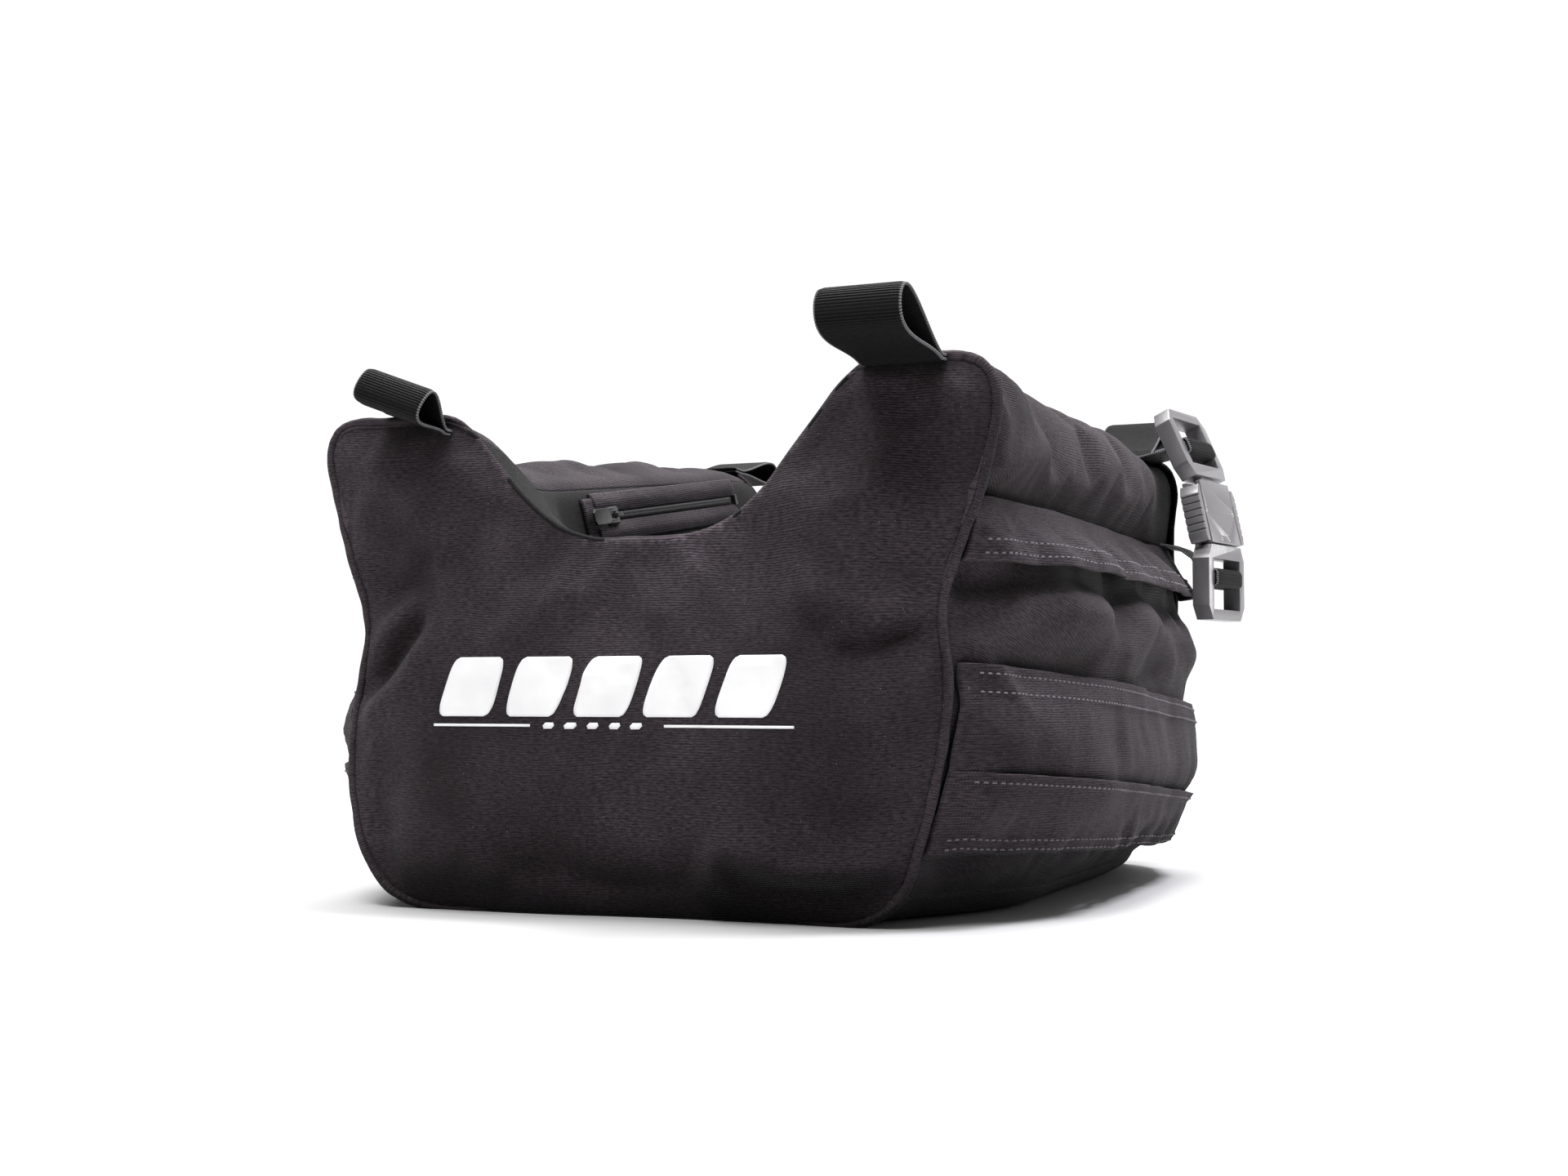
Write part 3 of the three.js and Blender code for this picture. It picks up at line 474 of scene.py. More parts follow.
def body_mesh():
    """Points, faces, weave coordinates and panel number of the whole closed body."""
    rows, columns = BODY_ROWS, BODY_COLUMNS
    stations = np.linspace(-HALF_DEPTH, HALF_DEPTH, rows)
    rings = []
    for y in stations:
        right, left = half_ring(y, 1), half_ring(y, -1)
        rings.append(np.concatenate([right, left[-2:0:-1]]))
    rings = np.array(rings)
    points = [rings[:, :, :3].reshape(-1, 3)]
    faces, uvs, panels = [], [], []
    skin = rings.reshape(-1, 4)
    names = [name for name, count in STEPS.items() for _ in range(count)]
    for f in grid_faces(rows, columns, closed=True):
        column = f[0] % columns
        half = column if column < HALF_COLUMNS else columns - 1 - column
        name = names[half]
        hand = "" if name in ("base", "trough") else ("right_" if column < HALF_COLUMNS else "left_")
        v = skin[list(f), 3].copy()
        if name == "trough" and v.max() - v.min() > 50:
            v = np.abs(v)
        faces.append(f)
        uvs.append([(skin[i, 1], length) for i, length in zip(f, v)])
        panels.append(f"{hand}{name}_panel")
    start = len(skin)
    for name, row, y in (("front_panel", 0, -HALF_DEPTH), ("rear_panel", rows - 1, HALF_DEPTH)):
        inside, triangles = end_fill(rings[row], y)
        places = [row * columns + i for i in range(columns)] + [start + i for i in range(len(inside))]
        flat = np.concatenate([rings[row][:, [0, 2]], inside[:, [0, 2]]])
        for t in triangles:
            order = t if row else t[::-1]
            faces.append(tuple(places[i] for i in order))
            uvs.append([tuple(flat[i]) for i in order])
            panels.append(name)
        points.append(inside)
        start += len(inside)
    return np.concatenate(points), faces, uvs, panels


# Soft folds as (line in mm, half width, height): positive stands out of the cloth, negative sinks into it.
# The end panels' lines are x, z; the sides' are x, y, z.
FRONT_FOLDS = [
    # Right pinch under the horn.
    ([(146, 144), (122, 139), (92, 144)], 6, 4.6),
    ([(146, 134), (124, 127), (104, 122)], 5, -5.5),
    ([(148, 122), (130, 108), (118, 88)], 9, 3.4),
    ([(144, 152), (126, 160), (110, 174)], 8, -2.6),
    # Left pinch, with its diagonal folds.
    ([(-142, 160), (-126, 148), (-114, 150)], 8, -3.2),
    ([(-116, 143), (-130, 130), (-146, 112)], 5.5, 4.6),
    ([(-112, 130), (-124, 118), (-138, 103)], 5.5, -4.6),
    ([(-104, 122), (-118, 104), (-136, 92)], 7, 3.2),
    # Hollows and short folds low on the front.
    ([(-124, 20), (-122, 36)], 9, -4.0),
    ([(-120, 45), (-112, 80)], 12, -1.6),
    ([(46, 34), (78, 24), (112, 28)], 8, 3.2),
    ([(52, 20), (84, 12), (116, 14)], 7, -3.6),
    ([(-60, 22), (-20, 14), (24, 18)], 9, -1.8),
    ([(60, 200), (96, 176), (132, 166)], 13, 1.8),
]
SIDE_FOLDS = [
    # Tuck and soft folds of the right side.
    ([(160, -184, 188), (168, -150, 204), (172, -110, 212)], 9, 3.0),
    ([(158, -184, 198), (168, -140, 222), (170, -100, 232)], 8, -2.6),
    ([(150, -176, 126), (172, -120, 142), (180, -60, 128)], 11, 5.0),
    ([(150, -174, 150), (174, -120, 152), (178, -40, 151), (178, 60, 150), (176, 140, 151)], 8, -6.5),
    ([(160, -150, 108), (178, -90, 116), (182, -30, 140)], 10, -4.5),
    ([(180, -40, 122), (182, 20, 142), (180, 70, 126)], 12, 5.0),
    ([(182, 0, 112), (182, 50, 120), (180, 110, 142)], 9, -4.0),
    ([(180, 90, 138), (178, 130, 122), (172, 170, 118)], 10, 4.0),
    ([(176, -90, 60), (178, 0, 70), (174, 120, 60)], 14, 3.0),
    ([(166, -60, 24), (168, 30, 20), (164, 100, 24)], 20, 3.6),
    ([(172, -20, 216), (172, 40, 204), (170, 100, 214)], 16, 2.4),
    ([(166, -170, 206), (168, 0, 206), (168, 120, 206)], 13, 3.0),
    ([(-166, -100, 202), (-168, 0, 204), (-168, 120, 206)], 13, 3.0),
    # The left side, the same kind of folds.
    ([(-150, -170, 130), (-176, -100, 140), (-180, -30, 126)], 11, 4.6),
    ([(-180, -10, 122), (-182, 60, 140), (-178, 130, 124)], 12, 4.6),
    ([(-176, -120, 150), (-180, -40, 150), (-180, 90, 150)], 8, -6.0),
]
REAR_FOLDS = [
    ([(-140, 130), (-100, 118), (-70, 128)], 9, 3.6),
    ([(144, 140), (110, 126), (84, 130)], 9, -3.6),
    ([(-70, 30), (0, 18), (76, 30)], 10, -3.0),
    ([(80, 200), (110, 170), (140, 160)], 12, 2.4),
]


def on_plane(folds, y):
    return [([(x, y, z) for x, z in line], width, size) for line, width, size in folds]


FOLDS = on_plane(FRONT_FOLDS, -HALF_DEPTH) + SIDE_FOLDS + on_plane(REAR_FOLDS, HALF_DEPTH)
# Slumps of the filled bag: centre, radius and how far the cloth moves there, in mm.
SLUMPS = [
    ((-150, -180, 66), 52, (-9, -2, 0)),
    ((-138, -184, 8), 42, (-11, -6, 0)),
    ((-152, -180, 158), 34, (-5, 0, 0)),
    ((-60, -184, 0), 50, (0, -8, 0)),
    ((172, 178, 70), 70, (-11, -5, 0)),
    ((165, 180, 20), 46, (-9, -5, 0)),
]
FOLD_SCALE = 1.5
FOLD_REACH = 7.0
SEAM_DIP = 1.6
PILLOW = 7.0
SIDE_PILLOW = 2.5
SHOULDER_DIP = 4.5
EDGE_DROP = 4.0
UNDERCUT = 7.0
WANDER = 3.2
BUCKLE_MIDDLE = np.array([175, 162, 225])
ZIP_LINE = [(-100, -62, 192), (-108, 150, 224)]
STRAP_LINE = [(112, 162, 243), (172, 162, 243), (170, 162, 170)]


def wander(points):
    """How far the seams stray from their drawn lines: a smooth field, zero on the ground and at the buckle."""
    field = np.stack([soft_noise(points, 62, seed) for seed in (7, 8, 9)], axis=1)
    near_buckle = np.linalg.norm(points - BUCKLE_MIDDLE, axis=1)
    near_zip = distance_to_line(points, ZIP_LINE)
    still = smoothstep(points[:, 2], 2, 40) * smoothstep(near_buckle, 40, 90) * smoothstep(near_zip, 20, 60)
    return WANDER * field * still[:, None]


def distance_to_line(points, line):
    best = np.full(len(points), 1e9)
    for a, b in zip(np.array(line[:-1], float), np.array(line[1:], float)):
        t = np.clip(((points - a) @ (b - a)) / ((b - a) @ (b - a)), 0, 1)
        best = np.minimum(best, np.linalg.norm(points - a - t[:, None] * (b - a), axis=1))
    return best


def soft_noise(points, size, seed):
    shift = Vector((seed * 17.3, seed * 5.1, seed * 9.7))
    return np.array([noise.noise(Vector(p) / size + shift) for p in points])


def point_tree(points):
    tree = kdtree.KDTree(len(points))
    for i, p in enumerate(points):
        tree.insert(p, i)
    tree.balance()
    return tree


def relief(points, owners, to_seam, low, calm):
    """How far each point stands out along its normal: folds, unevenness, pillows, and dips at the seams."""
    height = np.zeros(len(points))
    for line, width, size in FOLDS:
        height += FOLD_SCALE * size * np.exp(-((distance_to_line(points, line) / width) ** 2))
    height += 3.2 * soft_noise(points, 50, 1) + 1.3 * soft_noise(points, 21, 2)
    height *= calm * smoothstep(to_seam, 0, 16)
    ends = on_ends(owners)
    side_pillow = SIDE_PILLOW * smoothstep(to_seam, 0, 45) * calm
    height += np.where(ends, PILLOW * smoothstep(to_seam, 0, 70), side_pillow) * low
    ridge_seam = np.abs(points[:, 2] - SEAM_HEIGHT) + np.maximum(0, 150 - np.abs(points[:, 0]))
    height -= SHOULDER_DIP * np.exp(-((ridge_seam / 8) ** 2)) * calm * np.where(ends, 0, 1)
    shell_seam = np.where(np.abs(points[:, 1]) < HALF_DEPTH - 1, 1.0, 0.0)
    height -= SEAM_DIP * shell_seam * np.exp(-((to_seam / 3.2) ** 2)) * low
    return height + 0.8 * soft_noise(points, 13, 3) * calm * np.exp(-((to_seam / 14) ** 2))


def on_ends(owners):
    return np.array([bool(o & {"front_panel", "rear_panel"}) for o in owners])


def settle(sculpted, points, owners, to_seam, low):
    """Pulls the end panels in at their edges and foot, adds the slumps and keeps all above the floor."""
    inward = np.sign(points[:, 1])
    sculpted[:, 1] -= inward * np.where(on_ends(owners), EDGE_DROP * np.exp(-to_seam / 9.0), 0) * low
    near_foot = np.clip(1 - points[:, 2] / 42, 0, 1) ** 2
    turned_under = near_foot * smoothstep(np.abs(points[:, 1]), 140, HALF_DEPTH)
    sculpted[:, 1] -= inward * UNDERCUT * turned_under
    for centre, radius, push in SLUMPS:
        nearness = np.exp(-((np.linalg.norm(points - np.array(centre), axis=1) / radius) ** 2))
        sculpted += nearness[:, None] * np.array(push, float)
    sculpted[:, 2] = np.maximum(sculpted[:, 2], 0.0)
    return sculpted


def make_body():
    """The filled bag as one closed mesh: sculpted folds, then cloth blown up against its seams."""
    points, faces, uvs, panels = body_mesh()
    body = facing_out(new_object("body_cloth", points, faces))
    for i, polygon in enumerate(body.data.polygons):
        uv = dict(zip(faces[i], uvs[i]))
        faces[i] = tuple(polygon.vertices)
        uvs[i] = [uv[v] for v in faces[i]]
    normals = np.array([v.normal for v in body.data.vertices])
    owners = [set() for _ in points]
    for face, panel in zip(faces, panels):
        for v in face:
            owners[v].add(panel)
    seam = np.array([len(o) > 1 for o in owners])
    tree = point_tree(points[seam])
    to_seam = np.array([tree.find(p)[2] for p in points])
    low = smoothstep(points[:, 2], 3, 22)
    away_from_zip = smoothstep(distance_to_line(points, ZIP_LINE), 16, 42)
    away_from_strap = smoothstep(distance_to_line(points, STRAP_LINE), 18, 44)
    trough_floor = np.array(["trough_panel" in o for o in owners])
    calm = low * away_from_zip * away_from_strap * np.where(trough_floor, 0.35, 1)
    height = relief(points, owners, to_seam, low, calm)
    sculpted = points + normals * height[:, None] + wander(points)
    sculpted = settle(sculpted, points, owners, to_seam, low)
    final = sculpted
    blown = inflate(body, sculpted, seam | (low < 0.02))
    drift = np.clip(blown - sculpted, -FOLD_REACH, FOLD_REACH)
    final = sculpted + drift * (calm * smoothstep(to_seam, 0, 16))[:, None]
    final[:, 2] = np.maximum(final[:, 2], 0.0)
    bpy.data.objects.remove(body)
    return final, faces, uvs, panels


PRESSURE = 4.0
LAST_FRAME = 20


def inflate(body, points, pinned):
    """Where the cloth's points go when the bag is blown up with its seams and base held."""
    body.data.vertices.foreach_set("co", (points * MM).astype(np.float32).ravel())
    group = body.vertex_groups.new(name="held")
    group.add([int(i) for i in np.nonzero(pinned)[0]], 1.0, "REPLACE")
    modifier = body.modifiers.new("cloth", "CLOTH")
    cloth = modifier.settings
    cloth.quality = 5
    cloth.mass = 0.25
    cloth.tension_stiffness = 18
    cloth.compression_stiffness = 12
    cloth.shear_stiffness = 6
    cloth.bending_stiffness = 0.35
    cloth.shrink_min = -0.026
    cloth.use_pressure = True
    cloth.uniform_pressure_force = PRESSURE
    cloth.vertex_group_mass = "held"
    cloth.effector_weights.gravity = 0
    modifier.collision_settings.use_collision = False
    modifier.point_cache.frame_start = 1
    modifier.point_cache.frame_end = LAST_FRAME
    for step in range(1, LAST_FRAME + 1):
        bpy.context.scene.frame_set(step)
    settled = body.evaluated_get(bpy.context.evaluated_depsgraph_get())
    blown = np.array([v.co for v in settled.data.vertices]) / MM
    bpy.context.scene.frame_set(1)
    return blown


PANEL_THICK = 2.0
ALSO_STANDS_FOR = {
    "base_panel": ["base_fill_bag"],
    "left_ridge_panel": ["left_ridge_fill_bag"],
    "right_ridge_panel": ["right_ridge_fill_bag"],
}


def make_panels(points, faces, uvs, panels):
    for name in sorted(set(panels)):
        chosen = [i for i, panel in enumerate(panels) if panel == name]
        used = sorted({v for i in chosen for v in faces[i]})
        place = {v: k for k, v in enumerate(used)}
        own_faces = [tuple(place[v] for v in faces[i]) for i in chosen]
        panel = new_object(name + "_cloth", points[used], own_faces)
        layer = panel.data.uv_layers.new(name="weave")
        layer.data.foreach_set("uv", np.array([c for i in chosen for c in uvs[i]], np.float32).ravel())
        # The trough panel takes the near-black cloth whose darkness paints the trough's shade.
        panel.data.materials.append(GRIP_LINING_AND_TROUGH_SHADE if name == "trough_panel" else CANVAS)
        subdivide = panel.modifiers.new("subdivide", "SUBSURF")
        subdivide.levels = subdivide.render_levels = 1
        subdivide.boundary_smooth = "PRESERVE_CORNERS"
        thick = panel.modifiers.new("thick", "SOLIDIFY")
        thick.thickness = PANEL_THICK * MM
        thick.offset = -1
        apply_modifiers(panel)
        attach(panel, "bag")
        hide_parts(name, *ALSO_STANDS_FOR.get(name, []))


body_points, body_faces, body_uvs, body_panels = make_body()
make_panels(body_points, body_faces, body_uvs, body_panels)
SURFACE = bvhtree.BVHTree.FromPolygons([tuple(p) for p in body_points], body_faces)


def outline_x(side, y, z):
    """Distance from the middle plane to the drawn side, without its folds."""
    points = section(y, side)[BASE_END : SEAM_END + 1]
    return np.interp(z, points[:, 1], points[:, 0])


def surface_from(start, direction):
    """Where a ray meets the bag's finished surface, and the normal there, or None."""
    place, normal = SURFACE.ray_cast(Vector(start), Vector(direction))[:2]
    return (place, normal) if place is not None else None


def side_surface(side, y, z):
    hit = surface_from((side * 260, y, z), (-side, 0, 0))
    return side * hit[0].x if hit else 150.0


# ---- Stitches ----

STITCH_STEP = 3.9
STITCH_LENGTH = 2.7
STITCH_RADIUS = 0.48
CAPSULE_SIDES = 6


def capsule(at, along, up, length, radius):
    """Points and faces of a short thread from its middle, its direction and which way is up."""
    along, up = Vector(along).normalized(), Vector(up)
    across = along.cross(up).normalized()
    up = across.cross(along)
    rows = [(-0.5, 0.25), (-0.38, 0.9), (0.0, 1.0), (0.38, 0.9), (0.5, 0.25)]
    points = []
    for share, size in rows:
        lift = -1.6 * radius * (2 * share) ** 2
        for k in range(CAPSULE_SIDES):
            turn = 2 * math.pi * k / CAPSULE_SIDES
            offset = across * (math.cos(turn) * radius * size) + up * (math.sin(turn) * radius * size + lift)
            points.append(Vector(at) + along * (share * length) + offset)
    faces = grid_faces(len(rows), CAPSULE_SIDES, closed=True)
    last_ring = range((len(rows) - 1) * CAPSULE_SIDES, len(rows) * CAPSULE_SIDES)
    faces += [tuple(range(CAPSULE_SIDES))[::-1], tuple(last_ring)]
    return points, faces


def stitch_line(path, normals):
    """Stitches along a path of points with the surface's normal at each."""
    path, normals = np.asarray(path, float), np.asarray(normals, float)
    total = np.linalg.norm(np.diff(path, axis=0), axis=1).sum()
    count = max(int(total / STITCH_STEP), 2)
    both = resample(np.concatenate([path, normals], axis=1), count * 2 + 1)
    points, faces = [], []
    for k in range(1, 2 * count, 2):
        at, up = both[k, :3], both[k, 3:]
        along = both[k + 1, :3] - both[k - 1, :3]
        more, more_faces = capsule(at, along, up, STITCH_LENGTH, STITCH_RADIUS)
        faces += [tuple(len(points) + v for v in f) for f in more_faces]
        points += more
    return points, faces


def joined(*parts):
    points, faces = [], []
    for more, more_faces in parts:
        faces += [tuple(len(points) + v for v in f) for f in more_faces]
        points += [tuple(p) for p in more]
    return points, faces


def add_stitches(name, lines):
    points, faces = joined(*[stitch_line(path, normals) for path, normals in lines])
    thread = new_object(name, points, faces, THREAD)
    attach(thread, "bag")


# ---- Piping ----

PIPING_RADIUS = 2.3
PIPING_LIFT = 0.9
PIPING_RINGS = 220
PIPING_SIDES = 14


def piping_path(end, side):
    """The finished seam between an end panel and the shell, from the base to the ridge's inner edge."""
    row = 0 if end < 0 else BODY_ROWS - 1
    columns = np.arange(BASE_COLUMN - 12, CREST_COLUMN + 2)
    ring = body_points[row * BODY_COLUMNS + (columns if side > 0 else BODY_COLUMNS - columns)]
    ahead = np.gradient(ring, axis=0)
    outward = np.stack([side * ahead[:, 2], np.zeros(len(ring)), -side * ahead[:, 0]], axis=1)
    outward /= np.linalg.norm(outward, axis=1)[:, None]
    proud = smoothstep(ring[:, 2], SEAM_HEIGHT - 40, SEAM_HEIGHT + 5)
    path = ring + outward * (PIPING_LIFT * (0.35 + 0.65 * proud))[:, None]
    path[:, 1] -= end * 0.6
    return path, outward


def make_piping(end, side):
    name = f"{'front' if end < 0 else 'rear'}_{'right' if side > 0 else 'left'}_piping"
    path, outward = piping_path(end, side)
    both = resample(np.concatenate([path, outward], axis=1), PIPING_RINGS)
    path, outward = both[:, :3], both[:, 3:]
    station = np.arange(PIPING_RINGS)
    tuck = smoothstep(np.minimum(station, PIPING_RINGS - 1 - station), 0, 14)
    swell = (1 + 0.16 * soft_noise(path, 9, 4)) * (0.35 + 0.65 * tuck)
    path = path + outward * (0.5 * soft_noise(path, 16, 5) - 1.8 * (1 - tuck))[:, None]
    back = np.array([0, -end, 0.0])
    points, uv = [], []
    for p, out, size in zip(path, outward, swell):
        for k in range(PIPING_SIDES):
            turn = 2 * math.pi * k / PIPING_SIDES
            points.append(p + PIPING_RADIUS * size * (math.cos(turn) * out + math.sin(turn) * back))
            uv.append((PIPING_RADIUS * turn, p[2]))
    faces = grid_faces(len(path), PIPING_SIDES, closed=True)
    faces += [tuple(range(PIPING_SIDES)), tuple(range(len(points) - PIPING_SIDES, len(points)))]
    roll = facing_out(new_object(name + "_roll", points, faces, CANVAS, uv=uv))
    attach(roll, "bag")
    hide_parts(name)


for end in (-1, 1):
    for side in (-1, 1):
        make_piping(end, side)

# ---- Bands and pockets on the sides ----

BAND_THICK = 2.2
HEM_LIFT = 0.7
BAND_FROM, BAND_TO = -181.0, 178.0
BAND_STEP = 3.0


def band_point(side, y, z, off, loose, head):
    """Where a band's inner face lies, as x from the middle plane: off the cloth, bridging its hollows."""
    ripple = noise.noise(Vector((y / 34, z / 40, side * 3 + head)))
    small = noise.noise(Vector((y / 11, z / 24, side * 7 + head)))
    off += (2.4 * ripple + 0.8 * small) * loose
    ends = float(smoothstep(min(y - BAND_FROM, BAND_TO - y), 0, 16))
    cloth_x = side_surface(side, y, z)
    bridge = max(outline_x(side, y, z) - cloth_x, 0) * ends * math.exp(-max(y, 0) / 90)
    return cloth_x + bridge + max(off, 0.5) * (0.25 + 0.75 * ends)


def side_band(name, side, top, bottom, offs, belly, wave, hem_rows, stitched):
    """A band or flat pocket on a side. Its top and bottom run from front to rear; offs is how far they stand
    off the cloth, belly how far its middle stands out, and stitched where its stitch lines run."""
    stations = np.arange(BAND_FROM, BAND_TO + 0.1, BAND_STEP)
    rows = int(max(top[0] - bottom[0], top[1] - bottom[1]) / 2.0) + 1
    outer, inner, uv = [], [], []
    for i in range(rows):
        down = i / (rows - 1)
        loose = wave * (0.35 + 0.65 * math.sin(math.pi * down) if offs[1] < 3 else down)
        off = offs[0] + (offs[1] - offs[0]) * down + belly * math.sin(math.pi * down)
        hem = HEM_LIFT if any(a <= down <= b for a, b in hem_rows) else 0.0
        line_out, line_in = [], []
        for y in stations:
            share = (y + HALF_DEPTH) / (2 * HALF_DEPTH)
            head = top[0] + (top[1] - top[0]) * share
            foot = bottom[0] + (bottom[1] - bottom[0]) * share
            z = head + (foot - head) * down
            x = band_point(side, y, z, off, loose, head)
            z += 1.4 * noise.noise(Vector((y / 27, 4 + head, side))) * (down - 0.2)
            line_in.append((side * x, y, z))
            line_out.append((side * (x + BAND_THICK + hem), y, z))
            uv.append((y, z))
        outer.append(line_out)
        inner.append(line_in)
    outer = np.array(outer)
    points, faces = thick_sheet(outer, np.array(inner))
    band = facing_out(new_object(name + "_cloth", points, faces, CANVAS, uv=uv + uv))
    bevel = band.modifiers.new("edge", "BEVEL")
    bevel.width = 0.6 * MM
    bevel.segments = 2
    apply_modifiers(band)
    band.data.polygons.foreach_set("use_smooth", [True] * len(band.data.polygons))
    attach(band, "bag")
    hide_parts(name)
    lines = []
    for down in stitched:
        row = outer[round(down * (rows - 1))] + np.array([side * 0.1, 0, 0])
        lines.append((row[2:-2], np.tile([side, 0, 0.2], (len(row) - 4, 1))))
    add_stitches(name + "_stitches", lines)


# Name, top and bottom heights, how far they stand off, belly, waviness, hems and stitch lines.
BANDS = [
    ("wing_band", (185, 185), (157, 155), (0.8, 9), 0, 1.0, [(0.62, 1.0)], (0.66, 0.84)),
    ("side_pocket", (114, 90), (30, 26), (3, 1.4), 6, 0.6, [(0.0, 0.16)], (0.04, 0.15)),
    ("lower_band", (68, 40), (33, 15), (11.5, 8), 0, 0.9, [(0.0, 0.12), (0.8, 1.0)], (0.1, 0.82, 0.93)),
]
for side, hand in ((-1, "left"), (1, "right")):
    for band_name, *band_values in BANDS:
        side_band(f"{hand}_{band_name}", side, *band_values)

# ---- Webbing ----

RIB_HEIGHT = 0.34
WEBBING_THICK = 1.3
ROW_SPACING = 0.31


def webbing_ribbon(path, normals, width_axis, width):
    """Points, faces and uv of webbing along a path, with cross ribs on both faces and scalloped selvages."""
    path, normals = np.asarray(path, float), np.asarray(normals, float)
    total = np.linalg.norm(np.diff(path, axis=0), axis=1).sum()
    count = int(total / ROW_SPACING)
    both = resample(np.concatenate([path, normals], axis=1), count)
    along = np.linspace(0, total, count)
    rib = np.abs(np.sin(along * math.pi / WEBBING_RIB)) ** 0.7
    across = [-0.5, -0.49, -0.47, -0.43, -0.3, -0.15, 0, 0.15, 0.3, 0.43, 0.47, 0.49, 0.5]
    outer, inner, uv = [], [], []
    axis = np.array(width_axis, float)
    for (at, normal), height, length in zip([(b[:3], b[3:]) for b in both], rib, along):
        normal = normal / np.linalg.norm(normal)
        row_out, row_in = [], []
        for share in across:
            edge = 1 - smoothstep(abs(share), 0.43, 0.5)
            swell = WEBBING_THICK / 2 * (0.45 + 0.55 * float(edge))
            swell += RIB_HEIGHT * height * (0.6 + 0.4 * float(edge))
            reach = share * (width + 0.5 * height)
            row_out.append(at + axis * reach + normal * swell)
            row_in.append(at + axis * reach - normal * swell)
            uv.append((reach, length))
        outer.append(row_out)
        inner.append(row_in)
    points, faces = thick_sheet(np.array(outer), np.array(inner))
    return points, faces, uv + uv


def bezier(a, b, c, d, count=40):
    t = np.linspace(0, 1, count)[:, None]
    a, b, c, d = (np.array(p, float) for p in (a, b, c, d))
    return a * (1 - t) ** 3 + 3 * b * t * (1 - t) ** 2 + 3 * c * t * t * (1 - t) + d * t**3


LOOP_ROOT_Y = HALF_DEPTH + 1.6
# Name, root's centre along X and Z, which end, lean from upright, slope of the root, length, half thickness.
LOOPS = [
    ("front_left_loop", -118, 230, -1, 66, 20, 29, 12.5),
    ("front_right_loop", 127, 243, -1, 73, 0, 56, 15),
    ("rear_left_loop", -136, 245, 1, 85, 0, 58, 11.2),
    ("rear_right_loop", 134, 245, 1, 70, 0, 58, 11.2),
]


def make_loop(name, x, z, end, lean, slope, length, half):
    up = bezier((-0.95, 0), (-0.95, length * 0.35), (-half * 1.35, length * 0.95), (0, length - 1))
    sloped = Matrix.Rotation(math.radians(slope), 3, "Y")
    turn = np.array(sloped @ Matrix.Rotation(math.radians(-end * lean), 3, "X"))
    root = np.array([x, end * LOOP_ROOT_Y, z])
    sewn_y = end * (HALF_DEPTH - 9)
    sewn = np.array([x, sewn_y, surface_from((x, sewn_y, 300), (0, 0, -1))[0].z + 0.6])
    tail = ((sewn - root) @ turn)[1:]
    edge = np.array([0.95, 0])
    down = np.stack([-up[-2::-1, 0], up[-2::-1, 1]], axis=1)
    flat = np.concatenate([[tail - edge], up, down, [tail + edge]])
    smooth = resample(flat, 140)
    ahead = np.gradient(smooth, axis=0)

    def leaned(pairs):
        return np.stack([np.zeros(len(pairs)), pairs[:, 0], pairs[:, 1]], axis=1) @ turn.T

    path = leaned(smooth) + root
    normals = leaned(np.stack([ahead[:, 1], -ahead[:, 0]], axis=1))
    points, faces, uv = webbing_ribbon(path, normals, turn[:, 0], WEBBING_WIDTH - 0.6)
    loop = facing_out(new_object(name + "_webbing", points, faces, WEBBING, uv=uv))
    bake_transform(loop)
    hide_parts(name)


for loop_values in LOOPS:
    make_loop(*loop_values)

# ---- Metal and moulded parts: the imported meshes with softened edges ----


def softened(node, material, width=0.45):
    """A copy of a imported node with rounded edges, which stands for it and rides its body."""
    source = bpy.data.objects[node]
    copy = source.copy()
    copy.data = source.data.copy()
    copy.name = node + "_finish"
    for key in list(copy.keys()):
        del copy[key]
    bpy.context.collection.objects.link(copy)
    copy.parent = None
    mesh = bmesh.new()
    mesh.from_mesh(copy.data)
    bmesh.ops.remove_doubles(mesh, verts=mesh.verts, dist=1e-6)
    bmesh.ops.dissolve_limit(mesh, angle_limit=math.radians(1), verts=mesh.verts, edges=mesh.edges)
    mesh.to_mesh(copy.data)
    mesh.free()
    bevel = copy.modifiers.new("edges", "BEVEL")
    bevel.width = width * MM
    bevel.segments = 3
    bevel.limit_method = "ANGLE"
    bevel.angle_limit = math.radians(30)
    bevel.harden_normals = True
    copy.data.polygons.foreach_set("use_smooth", [True] * len(copy.data.polygons))
    apply_modifiers(copy)
    copy.data.materials.clear()
    copy.data.materials.append(material)
    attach(copy, frame_body(node))
    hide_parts(node)
    return copy


def frame_body(node):
    bodies = frame["record"]["behaviour"]["bodies"]
    return next(body for body, nodes in bodies.items() if node in nodes)


for node in ("buckle_socket_plate", "buckle_cover_plate", "buckle_plug"):
    softened(node, BUCKLE_METAL, 0.5)
for end in ("front", "rear"):
    softened(f"buckle_{end}_clip", BUCKLE_METAL, 0.25)
    for piece in ("spring", "pin"):
        softened(f"buckle_{end}_clip_{piece}", STEEL, 0.15)
    softened(f"buckle_{end}_rivet", STEEL, 0.3)
for node in ("zip_slider", "zip_puller", "zip_rear_stop"):
    softened(node, BLACK_METAL, 0.3)

# ---- Straps at the buckle ----

BUCKLE_AT = np.array([195.5, 165.0, 184.5])
BUCKLE_PLACE = Matrix.Rotation(math.radians(-11), 4, "Z") @ Matrix.Rotation(math.radians(-12), 4, "Y")
BUCKLE_TURN = np.array(BUCKLE_PLACE.to_3x3())


def buckle_frame(points):
    return np.asarray(points, float) @ BUCKLE_TURN.T + BUCKLE_AT


